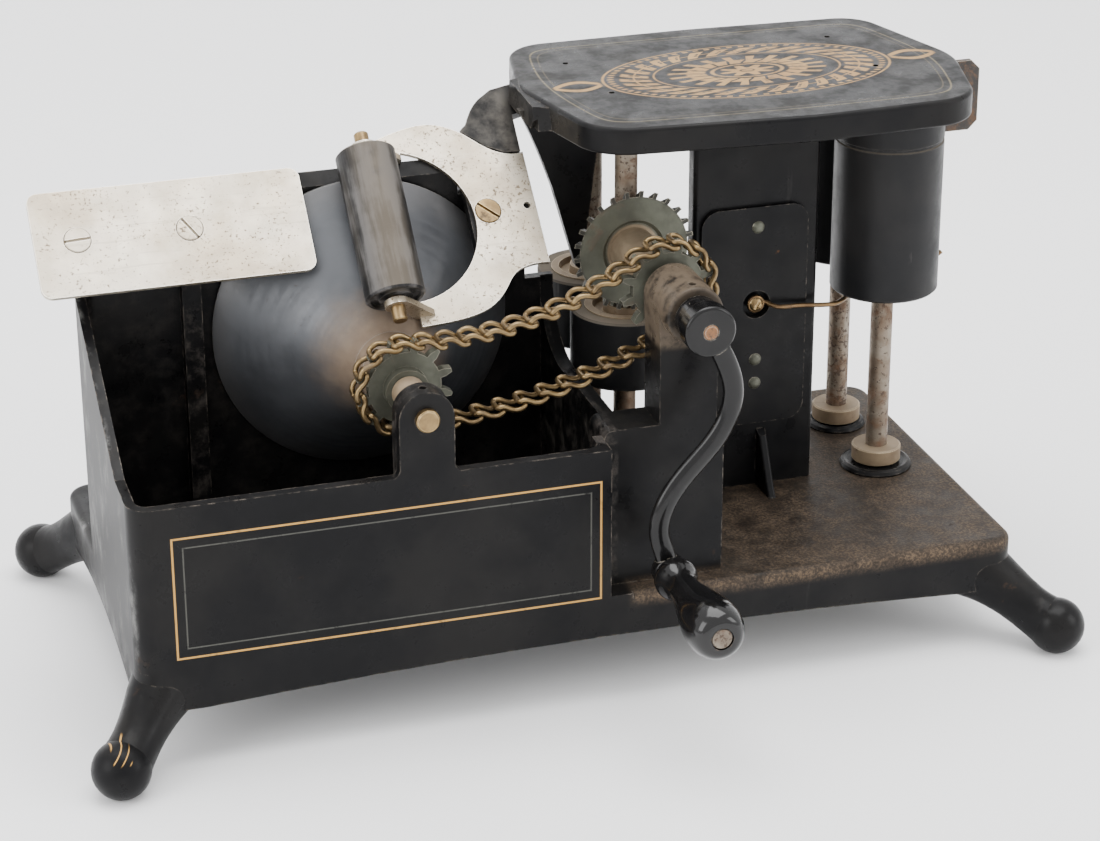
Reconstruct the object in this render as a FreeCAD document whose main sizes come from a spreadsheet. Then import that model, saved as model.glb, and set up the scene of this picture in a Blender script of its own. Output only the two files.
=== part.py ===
import FreeCAD, Part
import math
import os

import Sketcher

# Hand-cranked envelope sealer of cast iron. Millimetres, +Z up, +X is the way the envelopes travel.
# Driving sizes are measured from the centre of the base plate; the document's origin is the middle of
# the whole machine's footprint on the table, so every sub-part is shifted back by baseCentreY.

Vector = FreeCAD.Vector
Rotation = FreeCAD.Rotation
Placement = FreeCAD.Placement

doc = FreeCAD.newDocument("EnvelopeSealer")
sheet = doc.addObject("Spreadsheet::Sheet", "Sizes")

SIZES = [
    ("baseCentreY", 25.0, "base centre behind the footprint centre"),
    ("baseLeft", 189.0, "base plate reach to the left"),
    ("baseRight", 186.0, "base plate reach to the right"),
    ("baseHalfDepth", 87.0, "half depth of the base plate"),
    ("plateTop", 48.0, "top of the base plate above the floor"),
    ("plateWall", 6.0, "thickness of the base plate and its skirt"),
    ("skirtBottom", 25.0, "lowest edge of the skirt"),
    ("skirtArch", 5.0, "rise of the skirt's arch"),
    ("cornerRadius", 10.0, "plan corners of the base"),
    ("footReachX", 200.0, "centre of a foot lobe from the middle, along X"),
    ("footReachY", 101.0, "centre of a foot lobe from the middle, along Y"),
    ("footRadius", 12.0, "radius of a foot lobe"),
    ("footLift", 11.0, "centre of a foot lobe above the floor"),
    ("troughWall", 4.0, "wall of the water trough"),
    ("troughRight", 15.0, "outer face of the trough's right wall"),
    ("troughCorner", 5.5, "right end of the trough's front wall"),
    ("troughTop", 113.0, "top of the trough's front wall"),
    ("troughRear", 26.0, "outer face of the trough's rear wall"),
    ("rearWallTop", 203.0, "top of the trough's rear wall"),
    ("sideWallRise", 171.0, "top of the left wall where it meets the rear wall"),
    ("rearWallWall", 5.0, "thickness of the trough's rear wall"),
    ("discX", -70.5, "axis of the moistening disc"),
    ("discZ", 137.0, "height of the disc axis"),
    ("discRadius", 63.0, "radius of the moistening disc"),
    ("discRimY", 18.5, "rim plane of the disc"),
    ("discSheet", 1.6, "sheet thickness of the disc"),
    ("discHubRadius", 14.5, "hub of the disc"),
    ("lugWidth", 22.5, "width of the front bearing lug"),
    ("lugDepth", 11.0, "depth of the front bearing lug"),
    ("shaftRadius", 4.75, "radius of the shafts"),
    ("runningGap", 0.05, "radial clearance of a running fit"),
    ("crankX", 40.0, "crank axis"),
    ("crankZ", 166.5, "height of the crank axis"),
    ("pedestalFront", -77.0, "front face of the crank pedestal"),
    ("pedestalDepth", 19.0, "depth of the crank pedestal"),
    ("pedestalLeft", 28.8, "left side of the pedestal's upper part"),
    ("pedestalRight", 56.6, "right side of the pedestal's lower part"),
    ("pedestalStep", 117.0, "height of the pedestal's ledge"),
    ("bossRadius", 12.0, "bearing boss of the crank shaft"),
    ("bossReach", 10.0, "how far the boss stands in front of the pedestal"),
    ("chainY", -52.0, "plane of the chain"),
    ("chainPitch", 9.525, "pitch of the chain"),
    ("chainTeeth", 12, "teeth of both sprockets"),
    ("chainWire", 1.9, "wire of a chain link"),
    ("chainWidth", 9.0, "width of the chain"),
    ("hornLeft", 1.2, "where the saddle's flat cheek ends beside the table"),
    ("chainSag", 5.0, "sag of the slack run"),
    ("sprocketWeb", 4.0, "thickness of a sprocket"),
    ("bevelTeeth", 25, "teeth of the bevel gear on the crank shaft"),
    ("pinionTeeth", 10, "teeth of the bevel pinion"),
    ("bevelRadius", 26.3, "tip radius of the bevel gear"),
    ("bevelFront", -10.6, "front face of the bevel gear"),
    ("pinionZ", 141.0, "lower face of the bevel pinion"),
    ("leftRollX", 40.0, "axis of the left roller pair"),
    ("rightRollX", 158.0, "axis of the right roller pair"),
    ("frontRollY", 0.4, "axis of the front rollers"),
    ("rollSpacing", 47.0, "distance between the rollers of a pair"),
    ("rollRadius", 23.3, "radius of the rubber rollers"),
    ("rollRubber", 6.0, "thickness of the rubber"),
    ("leftRollBottom", 108.0, "lower end of the left rollers"),
    ("leftRollTop", 138.5, "upper end of the left rollers"),
    ("rightRollBottom", 133.4, "lower end of the right rollers"),
    ("rightRollTop", 218.0, "upper end of the right rollers"),
    ("spurTeeth", 24, "teeth of a roller gear"),
    ("idlerTeeth", 37, "teeth of the idler gear"),
    ("spurBottom", 30.0, "lower face of the roller gears"),
    ("spurFace", 8.0, "face width of the roller gears"),
    ("tableTop", 230.0, "top of the table"),
    ("tableRim", 11.3, "depth of the table's rim"),
    ("tableSkin", 5.0, "thickness of the table inside its rim"),
    ("columnLeft", 69.0, "left side of the column"),
    ("columnRight", 125.6, "right side of the column"),
    ("columnFront", -3.0, "front face of the column"),
    ("columnWall", 7.0, "thickness of the column's front plate"),
    ("coverSheet", 2.0, "thickness of the column's cover plate"),
    ("slopePlane", 180.0, "height of the sloping plates' top face over the base centre"),
    ("deckSheet", 2.0, "thickness of the nickel plates"),
    ("deckLeft", -205.0, "left edge of the left nickel plate"),
    ("deckRight", -93.6, "right edge of the left nickel plate"),
    ("deckLow", -10.0, "lower edge of the left nickel plate, along the slope"),
    ("deckHigh", 36.2, "upper edge of the left nickel plate, along the slope"),
    ("screwRadius", 5.4, "head radius of the countersunk screws"),
    ("pressRadius", 12.3, "radius of the press roller"),
    ("pressLength", 65.0, "length of the press roller"),
    ("pressPin", 3.0, "radius of the press roller's pin"),
    ("pressX", -68.0, "axis of the press roller"),
    ("pressGap", 0.4, "clearance between the press roller and the disc"),
    ("crankThrow", 104.0, "distance from the crank shaft to the knob"),
    ("armFace", -98.0, "rear face of the crank arm"),
    ("armThick", 6.0, "thickness of the crank arm"),
    ("armWide", 8.6, "width of the crank arm"),
    ("knobLength", 58.0, "length of the knob"),
    ("knobRadius", 11.8, "largest radius of the knob"),
    ("wireRadius", 1.0, "radius of the guide wire"),
]

for row, (alias, number, note) in enumerate(SIZES, start=1):
    sheet.set(f"A{row}", note)
    sheet.set(f"B{row}", str(number))
    sheet.setAlias(f"B{row}", alias)
doc.recompute()


def size(alias):
    return float(sheet.get(alias))


# ---------- helpers ----------

nodes = []


def keep(obj, name):
    obj.Label = name
    nodes.append(obj)
    return obj


def shift(obj, x="0", y="0", z="0", rotation=None):
    """Place a sub-part by expressions, measured from the centre of the base."""
    obj.Placement = Placement(Vector(0, 0, 0), rotation or Rotation())
    obj.setExpression("Placement.Base.x", x)
    obj.setExpression("Placement.Base.y", "Sizes.baseCentreY + " + y)
    obj.setExpression("Placement.Base.z", z)


def plane_of(body, role):
    for feature in body.Origin.OriginFeatures:
        if feature.Role == role:
            return feature
    raise RuntimeError("no plane " + role)


def sketch_on(body, role, name):
    sketch = body.newObject("Sketcher::SketchObject", name)
    sketch.AttachmentSupport = [(plane_of(body, role), "")]
    sketch.MapMode = "FlatFace"
    return sketch


def pin_point(sketch, geometry, point, x, y):
    """Tie one sketch point to two expressions, measured from the sketch's origin."""
    where = sketch.getPoint(geometry, point)
    across = sketch.addConstraint(Sketcher.Constraint("DistanceX", -1, 1, geometry, point, where.x))
    along = sketch.addConstraint(Sketcher.Constraint("DistanceY", -1, 1, geometry, point, where.y))
    sketch.setExpression(f"Constraints[{across}]", x)
    sketch.setExpression(f"Constraints[{along}]", y)


def outline(sketch, points):
    """Closed outline of straight lines whose corners follow expressions."""
    count = len(points)
    seed = []
    for i in range(count):
        angle = 2 * math.pi * i / count
        seed.append(Vector(30 + 10 * math.cos(angle), 30 + 10 * math.sin(angle), 0))
    first = sketch.GeometryCount
    for i in range(count):
        sketch.addGeometry(Part.LineSegment(seed[i], seed[(i + 1) % count]), False)
    for i in range(count):
        following = first + (i + 1) % count
        sketch.addConstraint(Sketcher.Constraint("Coincident", first + i, 2, following, 1))
    for i, (x, y) in enumerate(points):
        pin_point(sketch, first + i, 1, x, y)


def ring(sketch, x, y, radius):
    """Circle whose centre and radius follow expressions."""
    index = sketch.addGeometry(Part.Circle(Vector(7, 9, 0), Vector(0, 0, 1), 3), False)
    pin_point(sketch, index, 3, x, y)
    bound = sketch.addConstraint(Sketcher.Constraint("Radius", index, 3))
    sketch.setExpression(f"Constraints[{bound}]", radius)


def turned(name, profile, fillet=None):
    """Body of revolution about its own Z; the profile is (radius, height) in expressions."""
    body = doc.addObject("PartDesign::Body", name)
    sketch = sketch_on(body, "XZ_Plane", name + "Profile")
    outline(sketch, profile)
    spin = body.newObject("PartDesign::Revolution", name + "Turn")
    spin.Profile = sketch
    spin.ReferenceAxis = (sketch, ["V_Axis"])
    spin.Angle = 360
    sketch.Visibility = False
    doc.recompute()
    if fillet:
        edges = [f"Edge{i}" for i, edge in enumerate(spin.Shape.Edges, start=1) if fillet["pick"](edge)]
        rounded = body.newObject("PartDesign::Fillet", name + "Round")
        rounded.Base = (spin, edges)
        rounded.Radius = fillet["radius"]
    return body


def padded(name, points, length, role="XY_Plane", holes=()):
    """Body padded up from an outline, with round holes through it."""
    body = doc.addObject("PartDesign::Body", name)
    sketch = sketch_on(body, role, name + "Outline")
    outline(sketch, points)
    for x, y, radius in holes:
        ring(sketch, x, y, radius)
    pad = body.newObject("PartDesign::Pad", name + "Pad")
    pad.Profile = sketch
    pad.setExpression("Length", length)
    doc.recompute()
    return body


def toothed(name, blank, teeth, tooth, height, start="0"):
    """Turned blank with one padded tooth repeated around its Z axis."""
    body = turned(name, blank)
    sketch = sketch_on(body, "XY_Plane", name + "ToothOutline")
    sketch.setExpression("AttachmentOffset.Base.z", start)
    outline(sketch, tooth)
    pad = body.newObject("PartDesign::Pad", name + "Tooth")
    pad.Profile = sketch
    pad.setExpression("Length", height)
    doc.recompute()
    around = body.newObject("PartDesign::PolarPattern", name + "Teeth")
    around.Originals = [pad]
    around.Axis = (sketch, ["N_Axis"])
    around.Angle = 360
    around.setExpression("Occurrences", teeth)
    body.Tip = around
    doc.recompute()
    return body


def from_shape(name, shape):
    """Sub-part whose shape this file builds itself, in the base's own coordinates."""
    obj = doc.addObject("Part::Feature", name)
    obj.Shape = shape
    obj.Placement = Placement(Vector(0, size("baseCentreY"), 0), Rotation()).multiply(shape.Placement)
    return keep(obj, name)


def block(x0, x1, y0, y1, z0, z1):
    return Part.makeBox(x1 - x0, y1 - y0, z1 - z0, Vector(x0, y0, z0))


def rod(radius, start, end):
    axis = end - start
    return Part.makeCylinder(radius, axis.Length, start, axis)


def fused(shapes):
    solid = shapes[0].multiFuse(shapes[1:])
    return solid.removeSplitter()


def grown(shapes):
    """Fuse one piece at a time, for pieces that meet along curved sides."""
    solid = shapes[0]
    for shape in shapes[1:]:
        solid = solid.fuse(shape)
    return solid


def bored(shape, tools):
    for tool in tools:
        shape = shape.cut(tool)
    return shape


def along_x(points, x0, x1):
    """Prism along X of a (y, z) outline."""
    wire = Part.makePolygon([Vector(x0, y, z) for y, z in points] + [Vector(x0, *points[0])])
    return Part.Face(wire).extrude(Vector(x1 - x0, 0, 0))


def along_y(points, y0, y1):
    """Prism along Y of an (x, z) outline."""
    ends = [Vector(x, y0, z) for x, z in points]
    wire = Part.makePolygon(ends + [ends[0]])
    return Part.Face(wire).extrude(Vector(0, y1 - y0, 0))


def upright_edges(shape, tolerance=1e-6):
    """Straight edges that run along Z."""
    found = []
    for edge in shape.Edges:
        if edge.Curve.TypeId != "Part::GeomLine":
            continue
        direction = edge.Curve.Direction
        if abs(direction.x) < tolerance and abs(direction.y) < tolerance:
            found.append(edge)
    return found


def slope_point(along, out, x):
    """Point over the 45 degree plane that the nickel plates lie in."""
    half = math.sqrt(0.5)
    return Vector(x, (along - out) * half, size("slopePlane") + (along + out) * half)


def seat_height():
    """Where the upper casting stands on the rear wall of the trough."""
    return size("slopePlane") + 8


def above_plates(x0, x1, start=-20):
    """Everything over the underside of the sloping plates."""
    under = size("slopePlane") - size("deckSheet") * math.sqrt(2) - 0.05
    ridge = under + 70
    return along_x([(start, under + start), (70, ridge), (70, ridge + 60), (start, ridge + 60)], x0, x1)


SLOPE = Rotation(Vector(1, 0, 0), 45)   # turns flat work so that its Y runs up the slope


# ---------- the base casting ----------

def leg(corner_x, corner_y, foot_x, foot_y):
    """Cabriole leg lofted from the corner of the skirt to its lobe."""
    lift = size("footLift")
    radius = size("footRadius")
    plate = size("plateTop")
    across = foot_x - corner_x
    along = foot_y - corner_y
    stations = [
        (-0.85, plate - 15, 15.5),
        (-0.45, plate - 17, 14.5),
        (0.0, plate - 22, 12.0),
        (0.42, plate - 29, 10.2),
        (0.80, lift + 2.2, 10.6),
        (1.0, lift, radius - 0.4),
    ]
    rings = []
    centres = [Vector(corner_x + t * across, corner_y + t * along, z) for t, z, r in stations]
    for i, (t, z, r) in enumerate(stations):
        ahead = centres[min(i + 1, len(centres) - 1)]
        behind = centres[max(i - 1, 0)]
        rings.append(Part.Wire(Part.makeCircle(r, centres[i], ahead - behind)))
    limb = Part.makeLoft(rings, True, False)
    lobe = Part.makeSphere(radius, centres[-1])
    floor = block(foot_x - 60, foot_x + 60, foot_y - 60, foot_y + 60, -40, 0)
    return [limb.cut(floor), lobe.cut(floor)]


def base_plate():
    """Plate with its skirt, hollow below."""
    left, right, half = -size("baseLeft"), size("baseRight"), size("baseHalfDepth")
    wall, top, low = size("plateWall"), size("plateTop"), size("skirtBottom")
    plate = block(left, right, -half, half, low, top)
    plate = plate.makeFillet(size("cornerRadius"), upright_edges(plate))
    rim = [edge for edge in plate.Edges if abs(edge.BoundBox.ZMin - top) < 1e-6]
    plate = plate.makeFillet(3.0, rim)
    hollow = block(left + wall, right - wall, wall - half, half - wall, low - 5, top - wall)
    hollow = hollow.makeFillet(size("cornerRadius") - wall, upright_edges(hollow))
    return plate.cut(hollow)


def arch(reach, rise, low, front, along):
    """Flat arch that trims the lower edge of the skirt."""
    chord = [Vector(-reach, front, low), Vector(0, front, low + rise), Vector(reach, front, low)]
    bow = Part.Arc(*chord).toShape()
    sill = Part.makePolygon([chord[2], Vector(reach, front, low - 9), Vector(-reach, front, low - 9), chord[0]])
    solid = Part.Face(Part.Wire([bow] + sill.Edges)).extrude(Vector(0, along, 0))
    return solid


def trough():
    """Open water trough whose left wall climbs to the rear wall."""
    left, front = -size("baseLeft"), -size("baseHalfDepth")
    right, rear = size("troughRight"), size("troughRear")
    wall, rear_wall = size("troughWall"), size("rearWallWall")
    corner, ledge = size("troughCorner"), size("pedestalFront")
    floor, top = size("plateTop"), size("rearWallTop")
    shell = block(left, right, front, rear, floor - size("plateWall"), top)
    corners = [edge for edge in upright_edges(shell) if edge.BoundBox.XMin < 0]
    shell = shell.makeFillet(size("cornerRadius") - 1, corners)
    inner_left, inner_front, inner_rear = left + wall, front + wall, rear - rear_wall
    main = block(inner_left, corner - wall, inner_front, inner_rear, floor, top + 9)
    main = main.makeFillet(size("cornerRadius") - 1 - wall, upright_edges(main))
    annex = block(-60, right - wall - 2, ledge + wall, inner_rear, floor, top + 9)
    shell = shell.cut(main.fuse(annex))
    shell = shell.cut(block(corner, right + 9, front - 9, ledge, floor, top + 9))
    brow = [(front - 9, size("troughTop")), (-58, size("troughTop") + 1.5),
            (inner_rear, size("sideWallRise") - 5), (inner_rear, top + 20), (front - 9, top + 20)]
    shell = shell.cut(along_x(brow, left - 9, right - wall - 2))
    step = size("pedestalStep")
    dip = Part.Arc(Vector(0, -16, step), Vector(0, 14, step + 8), Vector(0, inner_rear + 2, step + 27)).toShape()
    frame = Part.makePolygon([Vector(0, inner_rear + 2, step + 27), Vector(0, inner_rear + 2, top + 20),
                              Vector(0, front - 9, top + 20), Vector(0, front - 9, step), Vector(0, -16, step)])
    scoop = Part.Face(Part.Wire([dip] + frame.Edges)).extrude(Vector(30, 0, 0))
    scoop.translate(Vector(right - wall - 2, 0, 0))
    shell = shell.cut(scoop)
    shell = shell.cut(block(2, right + 9, inner_rear - 3, rear + 9, step + 30, top + 20))
    shell = shell.cut(block(-27, right + 9, inner_rear - 3, rear + 9, seat_height(), top + 20))
    return shell.cut(above_plates(left - 9, right + 9))


def front_lug():
    """Round-topped lug that carries the disc shaft."""
    centre, axis = size("discX"), size("discZ")
    half, front = size("lugWidth") / 2, -size("baseHalfDepth")
    depth, top = size("lugDepth"), size("troughTop")
    post = block(centre - half, centre + half, front, front + depth, top - 30, axis)
    crown = rod(half, Vector(centre, front, axis), Vector(centre, front + depth, axis))
    cheeks = []
    sweep = 4.0
    for side in (-1, 1):
        root = centre + side * half
        cheek = block(min(root, root + side * sweep), max(root, root + side * sweep),
                      front, front + size("troughWall"), top - 1, top + sweep)
        bite = rod(sweep, Vector(root + side * sweep, front - 1, top + sweep),
                   Vector(root + side * sweep, front + depth, top + sweep))
        cheeks.append(cheek.cut(bite))
    return [post, crown] + cheeks


def pedestal():
    """Stepped pedestal with the bearing boss of the crank shaft."""
    front, depth = size("pedestalFront"), size("pedestalDepth")
    left, right, step = size("pedestalLeft"), size("pedestalRight"), size("pedestalStep")
    axis = Vector(size("crankX"), 0, size("crankZ"))
    radius, reach = size("bossRadius"), size("bossReach")
    floor = size("plateTop")
    lower = block(size("troughCorner"), right, front, front + depth, floor - 3, step)
    upper = block(left, right - 3.2, front, front + depth, step - 10, size("crankZ") - 14)
    lower = lower.makeFillet(3.5, [e for e in lower.Edges if abs(e.BoundBox.ZMin - step) < 1e-6
                                   and e.BoundBox.XMax < right - 1])
    neck = along_y([(left, size("crankZ") - 15), (right - 3.2, size("crankZ") - 15),
                    (axis.x + radius, axis.z), (axis.x - radius, axis.z)], front, front + depth)
    boss = rod(radius, axis + Vector(0, front - reach, 0), axis + Vector(0, front + depth, 0))
    rim = [e for e in boss.Edges if abs(e.BoundBox.YMax - front + reach) < 1e-6]
    return [lower, upper, neck, boss.makeFillet(1.5, rim)]


def plate_posts():
    """Two posts on the rear wall that carry the left nickel plate, and the rib below one of them."""
    posts = []
    for x in (size("deckLeft") + 17.6, size("deckLeft") + 63):
        seat = slope_point(14, -size("deckSheet"), x)
        posts.append(rod(5.5, seat, seat + Vector(0, 10.5, -10.5)))
    rear = size("troughRear") - size("rearWallWall")
    posts.append(block(size("deckLeft") + 59.5, size("deckLeft") + 67.5, rear - 5, rear + 1,
                       size("plateTop") - 1, size("slopePlane") - 6))
    return posts


def disc_boss():
    """Boss inside the cone that carries the rear end of the disc shaft."""
    rear = size("troughRear")
    return rod(9, Vector(size("discX"), 0, size("discZ")), Vector(size("discX"), rear, size("discZ")))


def base_casting():
    left, right, half = size("baseLeft"), size("baseRight"), size("baseHalfDepth")
    low, rise = size("skirtBottom"), size("skirtArch")
    plate = base_plate()
    plate = plate.cut(arch(right - 24, rise, low, -half - 9, 2 * half + 18))
    side = arch(half - 20, rise + 3, low, -left - 9, left + right + 18)
    side.rotate(Vector(0, 0, 0), Vector(0, 0, 1), -90)
    plate = plate.cut(side)
    solids = [plate, trough(), disc_boss()]
    solids += front_lug() + pedestal() + plate_posts()
    for sign_x, reach in ((-1, left), (1, right)):
        for sign_y in (-1, 1):
            solids += leg(sign_x * (reach - 6), sign_y * (half - 6),
                          sign_x * size("footReachX"), sign_y * size("footReachY"))
    cast = grown(solids)
    shaft = size("shaftRadius") + size("runningGap")
    tools = [
        rod(shaft, Vector(size("discX"), -half - 9, size("discZ")),
            Vector(size("discX"), size("troughRear") - size("rearWallWall"), size("discZ"))),
        rod(shaft, Vector(size("crankX"), -half - 9, size("crankZ")),
            Vector(size("crankX"), 0, size("crankZ"))),
        rod(1.6, Vector(size("discX"), size("lugDepth") / 2 - half, size("discZ")),
            Vector(size("discX"), size("lugDepth") / 2 - half, size("discZ") + 30)),
        rod(1.6, Vector(size("crankX"), size("pedestalFront") - 5, size("crankZ")),
            Vector(size("crankX"), size("pedestalFront") - 5, size("crankZ") + 30)),
    ]
    tip = gear_module() * (size("spurTeeth") / 2 + 1) + 0.7
    pocket_top = size("spurBottom") + size("spurFace") + 0.8
    for x, y in roll_axes():
        tools.append(rod(bush_radius(), Vector(x, y, 0), Vector(x, y, size("plateTop") + 9)))
        tools.append(rod(tip, Vector(x, y, size("footLift")), Vector(x, y, pocket_top)))
    tools.append(rod(4.0, Vector(*idler_axis(), 0), Vector(*idler_axis(), size("plateTop") - 2)))
    for x in (size("deckLeft") + 17.6, size("deckLeft") + 63):
        seat = slope_point(14, 0, x)
        tools.append(rod(1.8, seat, seat + Vector(0, 7, -7)))
    return from_shape("base_casting", bored(cast, tools))


def roll_axes():
    """Axes of the four upright rollers: front left, rear left, front right, rear right."""
    front, rear = size("frontRollY"), size("frontRollY") + size("rollSpacing")
    return [(size("leftRollX"), front), (size("leftRollX"), rear),
            (size("rightRollX"), front), (size("rightRollX"), rear)]


def bush_radius():
    return size("shaftRadius") + 2.5


def gear_module():
    return size("rollSpacing") / size("spurTeeth")


def idler_axis():
    """The idler meshes with both front roller gears, so it stands off their line."""
    reach = gear_module() * (size("spurTeeth") + size("idlerTeeth")) / 2
    half = (size("rightRollX") - size("leftRollX")) / 2
    drop = math.sqrt(reach ** 2 - half ** 2)
    return (size("leftRollX") + half, size("frontRollY") - drop)


base_casting()


# ---------- table, horn and plough: the upper casting ----------

def rounded_wire(corners, z):
    """Closed outline of straight sides joined by tangent arcs; corners are (x, y, radius)."""
    count = len(corners)
    arcs = []
    for i, (x, y, radius) in enumerate(corners):
        here = Vector(x, y, z)
        back = (Vector(*corners[i - 1][:2], z) - here).normalize()
        ahead = (Vector(*corners[(i + 1) % count][:2], z) - here).normalize()
        half = back.getAngle(ahead) / 2
        reach = radius / math.tan(half)
        inward = (back + ahead).normalize()
        middle = here + inward * (radius / math.sin(half) - radius)
        arcs.append((here + back * reach, middle, here + ahead * reach))
    edges = []
    for i, (start, middle, end) in enumerate(arcs):
        edges.append(Part.Arc(start, middle, end).toShape())
        following = arcs[(i + 1) % count][0]
        if (following - end).Length > 1e-6:
            edges.append(Part.makeLine(end, following))
    return Part.Wire(edges)


def table_prism(z0, z1):
    """Table seen in plan: slightly bowed sides and generous corners."""
    corners = [(1.5, 26, 40), (13, 84, 20), (95, 84.5, 200), (175, 80, 18), (192.5, 14, 40),
               (178, -43, 22), (108, -46.5, 200), (15, -38, 22)]
    return Part.Face(rounded_wire(corners, z0)).extrude(Vector(0, 0, z1 - z0))


def table_plate():
    top, rim, skin = size("tableTop"), size("tableRim"), size("tableSkin")
    plate = table_prism(top - rim, top)
    bottom = min(plate.Faces, key=lambda f: f.CenterOfMass.z)
    inset = Part.Face(bottom.OuterWire).makeOffset2D(-6.0)
    sharp = [e for e in plate.Edges if abs(e.BoundBox.ZMin - top) < 1e-4]
    plate = plate.makeFillet(1.8, sharp)
    low = [e for e in plate.Edges if abs(e.BoundBox.ZMax - top + rim) < 1e-4]
    plate = plate.makeFillet(1.2, low)
    hollow = Part.Face(inset.Wires[0]).extrude(Vector(0, 0, rim - skin))
    hollow.translate(Vector(0, 0, top - rim - inset.BoundBox.ZMin))
    return plate.cut(hollow)


def horn():
    """Saddle that joins the table's left end to the crescent plate, and the face that slopes down to it."""
    stations = [
        (16, -4, 41, 219.5, 229.6), (8, -2, 41, 219.3, 229.8), (1, 4, 40.5, 217.5, 229.3), (-8, 11, 38.5, 212, 226.4),
        (-16, 15, 36, 205.5, 220.8), (-22, 18, 33.5, 200.5, 213.6), (-25, 19.5, 31.5, 198.5, 208.8),
    ]
    rings = []
    for x, y0, y1, z0, z1 in stations:
        tilt = (z1 - z0) * 0.12
        points = [Vector(x, y0, z0), Vector(x, y1, z0 + tilt), Vector(x, y1 - 1.5, z1), Vector(x, y0 + 2, z1 - tilt)]
        rings.append(Part.makePolygon(points + [points[0]]))
    ridge = size("slopePlane") - 30
    over = along_x([(-30, ridge), (60, ridge + 90), (60, ridge + 150), (-30, ridge + 150)], -60, size("hornLeft"))
    saddle = Part.makeLoft(rings, True, False).cut(over)
    cheek = [(1.2, 33), (1.2, 50), (9, 52), (9, 66), (3.5, 64.3), (-6, 62.4), (-12, 58.5), (-14.6, 56),
             (-16.5, 53.5), (-20.7, 45.3), (-20.7, 33)]
    face = Part.Face(Part.makePolygon([slope_point(v, 0, u) for u, v in cheek + [cheek[0]]]))
    depth = 6 * math.sqrt(0.5)
    slab = face.extrude(Vector(0, depth, -depth))
    cover = [(-40, -20), (2.7, -20), (2.7, 33), (-6, 33.2), (-13, 36.7), (-22, 44.2), (-28, 48), (-40, 50)]
    base = -size("deckSheet")
    lid = Part.Face(Part.makePolygon([slope_point(v, base, u) for u, v in cover + [cover[0]]]))
    return saddle.fuse(slab).cut(lid.extrude(Vector(0, -30, 30)))


def plough():
    """Blade that folds the flap: a thin web hanging under the table's left end."""
    blade = size("tableTop") - size("tableRim")
    heel = [Vector(-1, 17.5, blade + 4), Vector(8.5, 17.5, 201), Vector(13.5, 17.5, 187)]
    curve = Part.Arc(*heel).toShape()
    rest = Part.makePolygon([heel[2], Vector(23.6, 17.5, 151.4), Vector(25.2, 17.5, 150),
                             Vector(26.6, 17.5, 152), Vector(33, 17.5, 203), Vector(37.5, 17.5, blade + 4), heel[0]])
    web = Part.Face(Part.Wire([curve] + rest.Edges)).extrude(Vector(0, 4, 0))
    return web


def crescent_seat():
    """Sloping pad behind the crescent plate, standing on the trough's rear wall."""
    under = -size("deckSheet")
    corners = [(-26, -12), (0.5, -12), (0.5, 31), (-8, 31), (-15, 36), (-26, 36)]
    face = Part.Face(Part.makePolygon([slope_point(v, under, u) for u, v in corners + [corners[0]]]))
    half = math.sqrt(0.5)
    pad = face.extrude(Vector(0, 5 * half, -5 * half))
    rear, wall = size("troughRear"), size("rearWallWall")
    stem = block(-26, 0.5, rear - wall, rear, seat_height(), seat_height() + 16)
    above = along_x([(rear - wall - 9, size("slopePlane") + rear - wall - 9 - 3.4),
                     (rear + 9, size("slopePlane") + rear + 9 - 3.4),
                     (rear + 9, 260), (rear - wall - 9, 260)], -30, 5)
    return pad, stem.cut(above)


def shaft_bosses():
    """Bearings of the upright shafts under the table."""
    ceiling = size("tableTop") - size("tableSkin")
    bosses = []
    for i, (x, y) in enumerate(roll_axes()):
        low = size("rightRollTop") + 0.6 if i > 1 else ceiling - 10
        bosses.append(rod(9, Vector(x, y, low), Vector(x, y, ceiling + 1)))
    return bosses


def table_casting():
    pad, stem = crescent_seat()
    cast = grown([table_plate(), horn(), plough(), pad, stem] + shaft_bosses())
    shaft = size("shaftRadius") + size("runningGap")
    tools = [rod(shaft, Vector(x, y, 200), Vector(x, y, shaft_top() + 0.4)) for x, y in roll_axes()]
    for x, y in ((30, 52), (36, 8), (150, 54), (154, 9)):
        tools.append(rod(1.3, Vector(x, y, size("tableTop") - 9), Vector(x, y, size("tableTop") + 1)))
    screw = slope_point(7.4, 0, -18.3)
    tools.append(rod(1.8, screw, screw + Vector(0, 7, -7)))
    return from_shape("table_casting", bored(cast, tools))


def shaft_top():
    return size("tableTop") - 2.0


table_casting()


# ---------- the column ----------

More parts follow.
